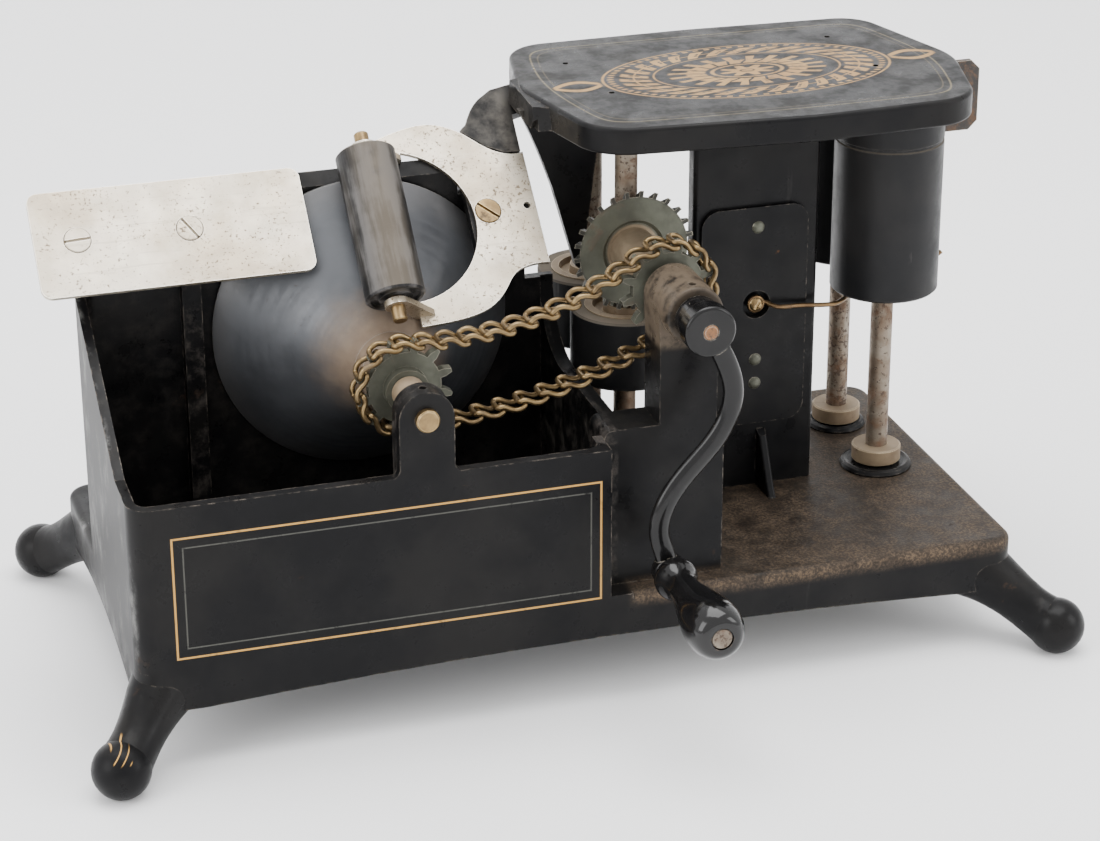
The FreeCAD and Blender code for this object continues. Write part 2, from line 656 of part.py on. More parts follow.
def column():
    left, right, front = size("columnLeft"), size("columnRight"), size("columnFront")
    wall, floor = size("columnWall"), size("plateTop")
    ceiling = size("tableTop") - size("tableSkin")
    middle = (left + right) / 2
    face = block(left, right, front, front + wall, floor, ceiling)
    face = face.makeFillet(2.0, [e for e in upright_edges(face) if e.BoundBox.YMax < front + 1])
    web = block(middle - 5, middle + 5, front + wall - 1, front + 18.5, floor, ceiling)
    foot = block(left + 6, right - 6, front + wall - 1, front + 18.5, floor, floor + 6)
    head = block(left + 6, right - 6, front + wall - 1, front + 18.5, ceiling - 6, ceiling)
    gusset = along_x([(front + 1, floor), (front - 17, floor), (front - 14, floor + 4),
                      (front - 3.5, floor + 24), (front + 1, floor + 27)], middle + 2.2, middle + 6)
    gusset = gusset.makeFillet(1.2, [e for e in gusset.Edges if e.BoundBox.YMax < front - 3
                                     and e.BoundBox.ZMin > floor - 1 and e.BoundBox.ZLength > 1])
    cast = fused([face, web, foot, head, gusset])
    screw_z = size("crankZ") - 33.1
    recess = rod(6.2, Vector(middle, front - 1, screw_z), Vector(middle, front + 2.2, screw_z))
    thread = rod(2.2, Vector(middle, front - 1, screw_z), Vector(middle, front + 12, screw_z))
    slots = [rod(1.5, Vector(middle, front - 1, z), Vector(middle, front + 4, z)) for z in cover_screw_heights()]
    from_shape("column", cast.cut(Part.makeCompound([recess, thread] + slots)))


def cover_screw_heights():
    return (size("crankZ") + 2, size("crankZ") - 58.5, size("crankZ") - 69.5)


def column_cover():
    """Arched cover plate screwed to the front of the column."""
    left, right, front = size("columnLeft") + 3, size("columnRight") - 5.5, size("columnFront")
    top, low = size("crankZ") + 11, size("plateTop") + 30
    plate = block(left, right, front - size("coverSheet"), front, low, top)
    edges = [e for e in plate.Edges if e.BoundBox.YLength > size("coverSheet") / 2]
    plate = plate.makeFillet(8.0, edges)
    middle = (size("columnLeft") + size("columnRight")) / 2
    screw_z = size("crankZ") - 33.1
    holes = [rod(6.2, Vector(middle, front - 5, screw_z), Vector(middle, front + 1, screw_z))]
    for z in cover_screw_heights():
        holes.append(rod(1.5, Vector(middle, front - 5, z), Vector(middle, front + 1, z)))
    from_shape("column_cover", plate.cut(Part.makeCompound(holes)))


def cover_screws():
    middle = (size("columnLeft") + size("columnRight")) / 2
    face = size("columnFront") - size("coverSheet")
    screws = []
    for z in cover_screw_heights():
        head = Part.makeSphere(3.4, Vector(middle, face + 1.9, z))
        head = head.common(block(middle - 5, middle + 5, face - 5, face, z - 5, z + 5))
        screws.append(head.fuse(rod(1.45, Vector(middle, face, z), Vector(middle, face + 5, z))).removeSplitter())
    from_shape("cover_screws", Part.makeCompound(screws))


column()
column_cover()
cover_screws()


# ---------- nickel plates on the slope ----------

def rounded_face(corners, radius):
    """Flat outline with rounded corners, in the slope's own axes."""
    wire = Part.makePolygon([Vector(u, v, 0) for u, v in corners + [corners[0]]])
    slab = Part.Face(wire).extrude(Vector(0, 0, -size("deckSheet")))
    return slab.makeFillet(radius, upright_edges(slab))


def on_slope(shape):
    """Turn flat work made in the slope's axes into its place."""
    turned_shape = shape.copy()
    turned_shape.Placement = Placement(Vector(0, 0, size("slopePlane")), SLOPE).multiply(shape.Placement)
    return turned_shape


def countersink(u, v):
    radius = size("screwRadius") + 0.25
    return Part.makeCone(radius - size("deckSheet"), radius, size("deckSheet"), Vector(u, v, -size("deckSheet")))


def slotted_screw(u, v, turn):
    """Countersunk screw with its slot, head flush with the plate."""
    radius, sheet_metal = size("screwRadius"), size("deckSheet")
    head = Part.makeCone(radius - sheet_metal, radius, sheet_metal, Vector(u, v, -sheet_metal))
    dome = Part.makeCylinder(radius, 0.5, Vector(u, v, 0))
    dome = dome.makeFillet(0.45, [e for e in dome.Edges if e.BoundBox.ZMin > 0.4])
    shank = Part.makeCylinder(1.75, 9, Vector(u, v, -9))
    slot = Part.makeBox(2 * radius + 2, 1.2, 1.6, Vector(u - radius - 1, v - 0.6, -0.9))
    slot.rotate(Vector(u, v, 0), Vector(0, 0, 1), turn)
    return on_slope(fused([head, dome, shank]).cut(slot))


DECK_SCREWS = [(17.6, 14.0, 3.0), (63.0, 14.0, -58.0)]   # from the plate's left edge, slope height, slot
CRESCENT_SCREW = (-18.3, 7.4, -42.0)


def left_deck_plate():
    left, right = size("deckLeft"), size("deckRight")
    low, high = size("deckLow"), size("deckHigh")
    plate = rounded_face([(left, low), (right, low), (right, high), (left, high)], 4.5)
    holes = [countersink(left + u, v) for u, v, turn in DECK_SCREWS]
    from_shape("left_deck_plate", on_slope(plate.cut(Part.makeCompound(holes))))
    screws = [slotted_screw(left + u, v, turn) for u, v, turn in DECK_SCREWS]
    from_shape("deck_screws", Part.makeCompound(screws))


def press_out():
    """Height of the press roller's axis over the slope plane: it just clears the cone."""
    cone = (size("discZ") + size("discRadius") - size("discRimY") - size("slopePlane")) * math.sqrt(0.5)
    return cone + size("pressRadius") + size("pressGap")


def crescent_plate():
    """Plate that curves round the disc and carries the press roller's pin in two ears."""
    u0 = size("pressX")
    top = [(u0 + 9, 44.5), (u0 + 20, 48.0), (-34.5, 49.1), (-22, 43.5), (-13, 36), (-6, 32.6), (2.0, 32.5)]
    low = [(2.7, -18.5), (-6, -18.8), (-12.5, -21.5), (-17.5, -27.5), (-24, -34), (-36, -38.6), (u0 + 12, -40.5)]
    upper, lower = Part.BSplineCurve(), Part.BSplineCurve()
    upper.interpolate([Vector(u, v, 0) for u, v in top])
    lower.interpolate([Vector(u, v, 0) for u, v in low])
    edges = [upper.toShape(), Part.makeLine(Vector(2.0, 32.5, 0), Vector(2.7, -18.5, 0)), lower.toShape(),
             Part.makeLine(Vector(u0 + 12, -40.5, 0), Vector(u0 + 9, 44.5, 0))]
    slab = Part.Face(Part.Wire(edges)).extrude(Vector(0, 0, -size("deckSheet")))
    bore = Part.makeCylinder(34.3, 20, Vector(-58.5, 4.5, -10))
    slab = slab.cut(bore)
    out, pin = press_out(), size("pressPin") + 0.02
    half = size("pressLength") / 2
    thick = 2.6
    side = [(u0 + 10.5, -size("deckSheet")), (u0 + 18, -size("deckSheet")), (u0 + 18, 0.8), (u0 + 4.5, out + 3),
            (u0 + 2, out - 1), (u0 + 3.6, out - 5), (u0 + 7.6, 1.8)]
    ears = []
    for v in (half + 1.2, -half - 1.2 - thick):
        web = Part.Face(Part.makePolygon([Vector(u, v, w) for u, w in side + [side[0]]]))
        eye = Part.makeCylinder(5.2, thick, Vector(u0, v + thick, out), Vector(0, -1, 0))
        ears += [web.extrude(Vector(0, thick, 0)), eye]
    ears.append(Part.makeBox(9.5, 9, size("deckSheet"), Vector(u0 + 8.5, half + 1.2, -size("deckSheet"))))
    ears.append(Part.makeBox(8, 4, size("deckSheet"), Vector(u0 + 11.5, -half - 1.2 - thick, -size("deckSheet"))))
    shape = fused([slab] + ears)
    shape = shape.cut(Part.makeCylinder(pin, 120, Vector(u0, 60, out), Vector(0, -1, 0)))
    u, v, turn = CRESCENT_SCREW
    holes = [countersink(u, v), Part.makeCylinder(1.5, 20, Vector(-1.5, 8, -10))]
    shape = shape.cut(Part.makeCompound(holes))
    from_shape("crescent_plate", on_slope(shape))
    from_shape("crescent_screw", slotted_screw(u, v, turn))


left_deck_plate()
crescent_plate()


# ---------- the press roller ----------

def lay_on_slope(obj, along):
    """Stand a turned part's axis up the slope, over the press roller's line."""
    half = math.sqrt(0.5)
    out = press_out()
    base = Vector(size("pressX"), size("baseCentreY") + (along - out) * half,
                  size("slopePlane") + (along + out) * half)
    obj.Placement = Placement(base, Rotation(Vector(1, 0, 0), -45))


def press_roller():
    pin = turned("pressPinBody", [
        ("0", "-42.5"), ("Sizes.pressPin - 0.4", "-42.5"), ("Sizes.pressPin", "-42"),
        ("Sizes.pressPin", "41"), ("Sizes.pressPin - 0.4", "41.5"), ("0", "41.5")])
    lay_on_slope(keep(pin, "press_roller_pin"), 0)
    inner = "Sizes.pressPin + Sizes.runningGap"
    low, high = "-Sizes.pressLength / 2", "Sizes.pressLength / 2"
    rubber = turned("pressRubber", [
        (inner, low), ("7", low), ("7", low + " + 1.5"), ("Sizes.pressRadius - 2", low + " + 1.5"),
        ("Sizes.pressRadius - 2", low), ("Sizes.pressRadius - 0.8", low), ("Sizes.pressRadius", low + " + 0.8"),
        ("Sizes.pressRadius", high + " - 0.8"), ("Sizes.pressRadius - 0.8", high), (inner, high)])
    lay_on_slope(keep(rubber, "press_roller"), 0)


press_roller()


# ---------- moistening disc and its shaft ----------

LIE_ALONG_Y = Rotation(Vector(1, 0, 0), -90)   # turned parts lie along Y, their height counts as Y


def disc_parts():
    rear = "Sizes.troughRear - Sizes.rearWallWall - 0.5"
    front = "-Sizes.baseHalfDepth - 3"
    shaft = turned("discShaftBody", [
        ("0", front), ("Sizes.shaftRadius - 0.6", front), ("Sizes.shaftRadius", front + " + 0.6"),
        ("Sizes.shaftRadius", rear), ("0", rear)])
    shift(keep(shaft, "disc_shaft"), "Sizes.discX", "0", "Sizes.discZ", LIE_ALONG_Y)
    tilt = "Sizes.discRimY - Sizes.discRadius"       # where the cone's outer face would meet its axis
    hub, skin = "Sizes.discHubRadius", "Sizes.discSheet"
    cone = turned("discCone", [
        ("Sizes.shaftRadius", "-41"), (hub + " - 1.5", "-41"), (hub, "-39.5"), (hub, tilt + " + " + hub),
        ("Sizes.discRadius", "Sizes.discRimY"), ("Sizes.discRadius - 0.3", "Sizes.discRimY + " + skin),
        (hub + " - 1", tilt + " + " + hub + " + " + skin + " * 1.42"),
        ("Sizes.shaftRadius", tilt + " + " + hub + " + " + skin + " * 1.42")])
    shift(keep(cone, "moistening_disc"), "Sizes.discX", "0", "Sizes.discZ", LIE_ALONG_Y)
    sleeve = turned("discSleeve", [
        ("Sizes.shaftRadius", "-Sizes.baseHalfDepth + Sizes.lugDepth + 0.3"),
        ("6.4", "-Sizes.baseHalfDepth + Sizes.lugDepth + 0.3"),
        ("6.8", "Sizes.chainY - 7"), ("Sizes.shaftRadius", "Sizes.chainY - 7")])
    shift(keep(sleeve, "disc_shaft_sleeve"), "Sizes.discX", "0", "Sizes.discZ", LIE_ALONG_Y)


def sprocket(name, label, x, z, hub_front, hub_rear):
    """Toothed wheel of the chain with its hub, on a shaft along Y."""
    pitch_radius = "(Sizes.chainPitch / 2 / sin(180 / Sizes.chainTeeth))"
    root = pitch_radius + " - 3.4"
    web = "Sizes.sprocketWeb / 2"
    blank = [
        ("Sizes.shaftRadius", hub_front), ("9", hub_front), ("9", "-" + web), (root, "-" + web),
        (root, web), ("9", web), ("9", hub_rear), ("Sizes.shaftRadius", hub_rear)]
    tooth = [
        (root + " - 1", "-1.7"), (root + " + 2", "-1.7"), (root + " + 5.0", "-0.8"),
        (root + " + 5.0", "0.8"), (root + " + 2", "1.7"), (root + " - 1", "1.7")]
    wheel = toothed(name, blank, "Sizes.chainTeeth", tooth, "Sizes.sprocketWeb", "-" + web)
    line = math.degrees(math.atan2(size("crankZ") - size("discZ"), size("crankX") - size("discX")))
    turn = Rotation(Vector(0, 1, 0), -line).multiply(LIE_ALONG_Y)
    shift(keep(wheel, label), x, "Sizes.chainY", z, turn)


def set_screw(x, y, z, radius, turn):
    """Headless screw in a hub, its slot outwards."""
    body = Part.makeCylinder(2.0, 3.4, Vector(0, 0, radius - 3.2))
    slot = Part.makeBox(5, 0.8, 1.2, Vector(-2.5, -0.4, radius - 0.6))
    shape = body.cut(slot)
    shape.rotate(Vector(0, 0, 0), Vector(0, 1, 0), turn)
    shape.translate(Vector(x, y, z))
    return shape


disc_parts()
sprocket("discSprocketBody", "disc_sprocket", "Sizes.discX", "Sizes.discZ", "-6.5", "5")
sprocket("crankSprocketBody", "crank_sprocket", "Sizes.crankX", "Sizes.crankZ", "-4.6", "4")


# ---------- crank shaft, bevel gear, arm and knob ----------

def crank_shaft():
    front, rear = "Sizes.armFace - Sizes.armThick - 1", "Sizes.frontRollY - Sizes.shaftRadius - 1.2"
    shaft = turned("crankShaftBody", [
        ("0", front), ("2.6", front), ("3.2", front + " + 0.6"), ("3.2", "Sizes.armFace - 1.5"),
        ("Sizes.shaftRadius", "Sizes.armFace - 1.5"), ("Sizes.shaftRadius", rear), ("0", rear)])
    shift(keep(shaft, "crank_shaft"), "Sizes.crankX", "0", "Sizes.crankZ", LIE_ALONG_Y)


def bevel_gear():
    """Bevel gear with its long hub; its face is dished by a ring groove."""
    tip, front = "Sizes.bevelRadius", "Sizes.bevelFront"
    root = tip + " - 2.6"
    hub_front = "Sizes.chainY + 4.2"
    blank = [
        ("Sizes.shaftRadius", hub_front), ("9.2", hub_front), ("10", hub_front + " + 0.8"), ("10", front + " + 1.2"),
        ("12", front + " + 1.2"), ("13.5", front), (root, front), (root + " - 3.2", front + " + 4.4"),
        ("Sizes.shaftRadius", front + " + 4.4")]
    body = turned("bevelGearBody", blank)
    teeth = sketch_on(body, "XZ_Plane", "bevelToothOutline")
    outline(teeth, [(root + " - 0.6", front), (tip, front), (tip + " - 3.4", front + " + 4.2"),
                    (root + " - 4.0", front + " + 4.2")])
    pad = body.newObject("PartDesign::Pad", "bevelTooth")
    pad.Profile = teeth
    pad.Midplane = True
    pad.setExpression("Length", "pi * Sizes.bevelRadius / Sizes.bevelTeeth * 0.55")
    doc.recompute()
    around = body.newObject("PartDesign::PolarPattern", "bevelTeethAround")
    around.Originals = [pad]
    around.Axis = (teeth, ["V_Axis"])
    around.Angle = 360
    around.setExpression("Occurrences", "Sizes.bevelTeeth")
    body.Tip = around
    doc.recompute()
    quarter_tooth = 90.0 / size("bevelTeeth")
    turn = Rotation(Vector(0, 1, 0), quarter_tooth).multiply(LIE_ALONG_Y)
    shift(keep(body, "bevel_gear"), "Sizes.crankX", "0", "Sizes.crankZ", turn)


def gear_hub_screws():
    screws = [set_screw(size("crankX"), size("chainY") + 10, size("crankZ"), 10, 8),
              set_screw(size("crankX"), size("bevelFront") - 8, size("crankZ"), 10, 62)]
    from_shape("gear_hub_screws", Part.makeCompound(screws))


def arm_path():
    """Middle line of the S-shaped arm from the shaft to the knob."""
    x, z = size("crankX"), size("crankZ")
    reach = size("crankThrow")
    end_x = x - 14.6
    end_z = z - math.sqrt(reach ** 2 - 14.6 ** 2)
    points = [(x, z), (x + 7.4, z - 14), (x + 11.0, z - 28), (x + 6.2, z - 44), (x - 5.5, z - 58),
              (x - 15.5, z - 71), (x - 19.2, z - 85), (end_x - 2.2, end_z + 8), (end_x, end_z)]
    y = size("armFace") - size("armThick") / 2
    return [Vector(px, y, pz) for px, pz in points]


def crank_arm():
    points = arm_path()
    curve = Part.BSplineCurve()
    curve.interpolate(points)
    wide, thick = size("armWide") / 2, size("armThick") / 2
    start = points[0]
    heading = (points[1] - points[0]).normalize()
    section = Part.Ellipse(Vector(0, 0, 0), wide, thick).toShape()
    ring_wire = Part.Wire(section)
    side = heading.cross(Vector(0, 1, 0))
    frame = FreeCAD.Matrix(side.x, 0, heading.x, start.x, side.y, 1, heading.y, start.y,
                           side.z, 0, heading.z, start.z, 0, 0, 0, 1)
    ring_wire.transformShape(frame)
    sweep = Part.Wire(curve.toShape()).makePipeShell([ring_wire], True, False)
    face = size("armFace")
    hub = rod(10.6, Vector(start.x, face - size("armThick") - 0.6, start.z), Vector(start.x, face + 2.2, start.z))
    hub = hub.makeFillet(1.4, hub.Edges)
    collar = rod(9.4, Vector(start.x, face + 1, start.z), Vector(start.x, face + 9.6, start.z))
    end = points[-1]
    eye = rod(7.2, Vector(end.x, face - size("armThick") - 0.4, end.z), Vector(end.x, face + 0.4, end.z))
    eye = eye.makeFillet(1.6, eye.Edges)
    arm = fused([sweep, hub, collar, eye])
    lift = Vector(0, 1, 0)
    reach = size("armThick") + 30
    bores = [rod(3.2, start - lift * reach, start + lift * (size("armThick") / 2 - 1.5)),
             rod(size("shaftRadius"), start + lift * (size("armThick") / 2 - 1.5), start + lift * reach),
             rod(3.0, end - lift * reach, end + lift * reach)]
    from_shape("crank_arm", arm.cut(Part.makeCompound(bores)))
    return end


def knob_and_spindle(end):
    """Turned wooden knob that runs free on a riveted spindle."""
    face = size("armFace") - size("armThick") - 1.0
    length, radius = size("knobLength"), size("knobRadius")
    outer = face - length
    inner = 3.0 + 0.3
    swell = [(6.6, 0), (8.6, 0.03), (8.9, 0.09), (7.4, 0.16), (6.4, 0.23), (6.7, 0.31), (8.3, 0.45),
             (10.4, 0.62), (radius, 0.79), (radius - 0.8, 0.91), (radius - 3.4, 0.985), (5.6, 1.0)]
    curve = Part.BSplineCurve()
    curve.interpolate([Vector(r, face - t * length, 0) for r, t in swell])
    dish = 4.6
    rest = Part.makePolygon([Vector(5.6, outer, 0), Vector(dish, outer, 0), Vector(dish, outer + 1.6, 0),
                             Vector(inner, outer + 1.6, 0), Vector(inner, face, 0), Vector(6.6, face, 0)])
    solid = Part.Face(Part.Wire([curve.toShape()] + rest.Edges)).revolve(Vector(0, 0, 0), Vector(0, 1, 0), 360)
    solid.translate(Vector(end.x, 0, end.z))
    from_shape("crank_knob", solid)
    pin = rod(3.0, Vector(end.x, outer + 0.2, end.z), Vector(end.x, size("armFace") + 1.4, end.z))
    head = rod(4.2, Vector(end.x, outer + 0.2, end.z), Vector(end.x, outer + 1.3, end.z))
    rivet = rod(4.6, Vector(end.x, size("armFace") + 0.4, end.z), Vector(end.x, size("armFace") + 2, end.z))
    rivet = rivet.makeFillet(0.9, [e for e in rivet.Edges if e.BoundBox.YMin > size("armFace") + 1.5])
    from_shape("knob_spindle", fused([pin, head.makeFillet(0.5, head.Edges), rivet]))


crank_shaft()
bevel_gear()
gear_hub_screws()
knob_and_spindle(crank_arm())


# ---------- upright shafts, rollers and their gears ----------

ROLLS = ["front_left", "rear_left", "front_right", "rear_right"]


def upright(obj, i, z="0", turn=0.0):
    """Stand a turned part on one of the four upright axes."""
    x = "Sizes.leftRollX" if i < 2 else "Sizes.rightRollX"
    y = "Sizes.frontRollY" + (" + Sizes.rollSpacing" if i % 2 else "")
    shift(obj, x, y, z, Rotation(Vector(0, 0, 1), turn))


def roll_shaft(i):
    top = "Sizes.tableTop - 2"
    low = "Sizes.spurBottom - 2"
    shaft = turned("rollShaft" + str(i), [
        ("0", low), ("Sizes.shaftRadius - 0.5", low), ("Sizes.shaftRadius", low + " + 0.5"),
        ("Sizes.shaftRadius", top), ("0", top)])
    upright(keep(shaft, ROLLS[i] + "_shaft"), i)


def roll_bush(i):
    """Flanged bush in the base plate, with a raised ring."""
    flange = "15.5" if i % 2 == 0 else "13"
    inner, sleeve = "Sizes.shaftRadius + Sizes.runningGap", "Sizes.shaftRadius + 2.5"
    top = "Sizes.plateTop"
    bush = turned("rollBush" + str(i), [
        (inner, "Sizes.spurBottom + Sizes.spurFace + 0.6"), (sleeve, "Sizes.spurBottom + Sizes.spurFace + 0.6"),
        (sleeve, top), (flange, top), (flange + " + 0.4", top + " + 0.8"), (flange + " - 0.3", top + " + 2.2"),
        (flange + " - 1.6", top + " + 2.8"), (flange + " - 3.2", top + " + 2.2"), (inner, top + " + 2.2")])
    upright(keep(bush, ROLLS[i] + "_bush"), i)


def roll_collar(i):
    base = "Sizes.plateTop + 3.1"
    collar = turned("rollCollar" + str(i), [
        ("Sizes.shaftRadius", base), ("10.3", base), ("10.8", base + " + 0.5"), ("10.8", base + " + 6.5"),
        ("10.2", base + " + 7"), ("Sizes.shaftRadius", base + " + 7")])
    upright(keep(collar, ROLLS[i] + "_collar"), i)


def left_core(i):
    """Metal spool inside a left roller; its top face shows."""
    low, high = "Sizes.leftRollBottom", "Sizes.leftRollTop"
    outer = "Sizes.rollRadius - Sizes.rollRubber"
    core = turned("leftCore" + str(i), [
        ("Sizes.shaftRadius", low + " - 6"), ("9", low + " - 6"), ("9", low), (outer, low), (outer, high + " + 0.6"),
        ("14", high + " + 0.6"), ("13", high + " - 2"), ("9.5", high + " - 2"), ("9", high + " + 1.6"),
        ("Sizes.shaftRadius", high + " + 1.6")])
    upright(keep(core, ROLLS[i] + "_spool"), i)


def right_core(i):
    low, high = "Sizes.rightRollBottom", "Sizes.rightRollTop"
    outer = "Sizes.rollRadius - Sizes.rollRubber"
    core = turned("rightCore" + str(i), [
        ("Sizes.shaftRadius", low + " - 1.5"), ("8.5", low + " - 1.5"), ("8.5", low + " + 0.4"),
        (outer, low + " + 0.4"), (outer, high), ("Sizes.shaftRadius", high)])
    upright(keep(core, ROLLS[i] + "_spool"), i)


def roll_rubber(i, side, groove):
    """Rubber tyre of a roller; the tall ones have a shallow groove near the top."""
    low, high = f"Sizes.{side}RollBottom", f"Sizes.{side}RollTop"
    outer, inner = "Sizes.rollRadius", "Sizes.rollRadius - Sizes.rollRubber"
    profile = [(inner, low), (outer + " - 0.8", low), (outer, low + " + 0.8")]
    if groove:
        profile += [(outer, high + " - 17.5"), (outer + " - 0.5", high + " - 17"),
                    (outer + " - 0.5", high + " - 16"), (outer, high + " - 15.5")]
    profile += [(outer, high + " - 0.8"), (outer + " - 0.8", high), (inner, high)]
    tyre = turned("rollRubber" + str(i), profile)
    upright(keep(tyre, ROLLS[i] + "_roller"), i)


def involute_outline(teeth, module, backlash):
    """Spur gear outline with involute flanks, tooth 0 centred on +X."""
    pressure = math.radians(20)
    pitch_radius = module * teeth / 2
    base = pitch_radius * math.cos(pressure)
    tip, root = pitch_radius + module, pitch_radius - 1.25 * module
    half = math.pi / (2 * teeth) - backlash / (2 * pitch_radius)
    flare = math.tan(pressure) - pressure

    def flank(radius):
        lean = math.acos(min(1.0, base / radius))
        return half + flare - (math.tan(lean) - lean)

    steps = [max(base, root) + (tip - max(base, root)) * k / 4 for k in range(5)]
    points = []
    for tooth in range(teeth):
        middle = 2 * math.pi * tooth / teeth
        points.append((root, middle - flank(steps[0]) - 0.02))
        points += [(radius, middle - flank(radius)) for radius in steps]
        points += [(radius, middle + flank(radius)) for radius in reversed(steps)]
        points.append((root, middle + flank(steps[0]) + 0.02))
    return [Vector(radius * math.cos(angle), radius * math.sin(angle), 0) for radius, angle in points]


def spur_gear(name, centre, teeth, turn, bore, boss):
    """Spur gear under the base plate, with a thinned web and a hub."""
    low, face = size("spurBottom"), size("spurFace")
    points = involute_outline(int(teeth), gear_module(), 0.35)
    blank = Part.Face(Part.makePolygon(points + [points[0]])).extrude(Vector(0, 0, face))
    root = gear_module() * (teeth / 2 - 1.25)
    relief = Part.makeCylinder(root - 3, 2).cut(Part.makeCylinder(boss, 2))
    tools = [Part.makeCylinder(bore, face), relief, relief.translated(Vector(0, 0, face - 2))]
    gear = blank.cut(Part.makeCompound(tools))
    gear.rotate(Vector(0, 0, 0), Vector(0, 0, 1), turn)
    gear.translate(Vector(centre[0], centre[1], low))
    from_shape(name, gear)


def gear_turns():
    """Angle of tooth 0 of each gear so that every mesh has a tooth facing a space."""
    spur, idler = int(size("spurTeeth")), int(size("idlerTeeth"))
    axes = roll_axes()
    middle = idler_axis()

    def meshed(driver_turn, driver_teeth, start, end, driven_teeth):
        heading = math.degrees(math.atan2(end[1] - start[1], end[0] - start[0]))
        lead = (heading - driver_turn) * driver_teeth / 360.0
        part_tooth = lead - math.floor(lead)
        return heading + 180.0 + (part_tooth + 0.5) * 360.0 / driven_teeth

    front_left = 0.0
    rear_left = meshed(front_left, spur, axes[0], axes[1], spur)
    middle_turn = meshed(front_left, spur, axes[0], middle, idler)
    front_right = meshed(middle_turn, idler, middle, axes[2], spur)
    rear_right = meshed(front_right, spur, axes[2], axes[3], spur)
    return [front_left, rear_left, front_right, rear_right], middle_turn


def roller_gears():
    turns, middle_turn = gear_turns()
    for i, centre in enumerate(roll_axes()):
        spur_gear(ROLLS[i] + "_gear", centre, size("spurTeeth"), turns[i], size("shaftRadius"), 9.0)
    spur_gear("idler_gear", idler_axis(), size("idlerTeeth"), middle_turn, 4.0 + size("runningGap"), 9.0)
    centre = Vector(*idler_axis(), 0)
    low, top = size("spurBottom") - 1.2, size("plateTop")
    stud = rod(4.0, centre + Vector(0, 0, low - 1.4), centre + Vector(0, 0, top - 2))
    shoulder = rod(7.5, centre + Vector(0, 0, low + 1.2 + size("spurFace") + 0.4),
                   centre + Vector(0, 0, top - size("plateWall")))
    head = rod(7.0, centre + Vector(0, 0, low - 1.4), centre + Vector(0, 0, low + 0.8))
    slot = block(centre.x - 8, centre.x + 8, centre.y - 0.7, centre.y + 0.7, low - 2, low - 0.6)
    from_shape("idler_stud", fused([stud, shoulder, head]).cut(slot))


def bevel_pinion():
    """Small bevel gear on the front left shaft, driven by the crank."""
    count = int(size("pinionTeeth"))
    low = "Sizes.pinionZ"
    root_low, tip_low = "7.2", "9.9"
    body = turned("bevelPinionBody", [
        ("Sizes.shaftRadius", low), (root_low, low), ("6.2", low + " + 3.6"),
        ("6.2", low + " + 8.5"), ("Sizes.shaftRadius", low + " + 8.5")])
    teeth = sketch_on(body, "XZ_Plane", "pinionToothOutline")
    outline(teeth, [("5.6", low), (tip_low, low), ("8.6", low + " + 3.4"), ("5.6", low + " + 3.4")])
    pad = body.newObject("PartDesign::Pad", "pinionTooth")
    pad.Profile = teeth
    pad.Midplane = True
    pad.Length = 1.6
    doc.recompute()
    around = body.newObject("PartDesign::PolarPattern", "pinionTeethAround")
    around.Originals = [pad]
    around.Axis = (teeth, ["V_Axis"])
    around.Angle = 360
    around.setExpression("Occurrences", "Sizes.pinionTeeth")
    body.Tip = around
    doc.recompute()
    upright(keep(body, "bevel_pinion"), 0, turn=-90.0 + 180.0 / count)


for i in range(4):
    roll_shaft(i)
    roll_bush(i)
    roll_collar(i)
    if i < 2:
        left_core(i)
        roll_rubber(i, "left", False)
    else:
        right_core(i)
        roll_rubber(i, "right", True)
bevel_pinion()
roller_gears()


# ---------- guide wire and exit guide ----------

def guide_wire():
    """Bent wire from the column, under the tall front roller and out through the rollers' gap."""
    radius = size("wireRadius")
    middle = (size("columnLeft") + size("columnRight")) / 2
    start_z = size("crankZ") - 33.1
    front = size("columnFront")
    eye_y = front - radius - 0.05
    clear = front - size("coverSheet") - radius - 0.4
    under = size("rightRollBottom") - radius - 1.9
    route = [Vector(middle + 2.9, eye_y, start_z + 0.6), Vector(middle + 4.6, eye_y - 0.7, start_z + 0.3),
             Vector(middle + 6.5, clear - 0.8, start_z - 0.3), Vector(middle + 17, clear - 1.6, start_z - 1.4),
             Vector(size("columnRight") + 6, clear - 1.0, under), Vector(size("rightRollX") - 12, front + 9, under),
             Vector(size("rightRollX") + 6, size("frontRollY") + 22, under),
             Vector(size("rightRollX") + 27, size("frontRollY") + 24.3, under + 0.6),
             Vector(size("rightRollX") + 38, size("frontRollY") + 24.3, size("rightRollBottom") + 2.1)]
    curve = Part.BSplineCurve()
    curve.interpolate(route)
    heading = curve.tangent(curve.FirstParameter)[0]
    tube = Part.Wire(curve.toShape()).makePipeShell(
        [Part.Wire(Part.makeCircle(radius, route[0], heading))], True, True)
    eye = Part.makeTorus(3.0, radius, Vector(middle, eye_y, start_z), Vector(0, 1, 0))
    from_shape("guide_wire", fused([tube, eye]))
    seat = eye_y - radius - 0.02
    head = Part.makeSphere(3.9, Vector(middle, seat + 2.3, start_z))
    head = head.common(block(middle - 6, middle + 6, seat - 6, seat, start_z - 6, start_z + 6))
    slot = block(middle - 6, middle + 6, seat - 6, seat - 1.0, start_z - 0.6, start_z + 0.6)
    slot.rotate(Vector(middle, 0, start_z), Vector(0, 1, 0), -55)
    shank = rod(1.9, Vector(middle, seat - 0.5, start_z), Vector(middle, front + 9, start_z))
    from_shape("guide_wire_screw", head.cut(slot).fuse(shank).removeSplitter())


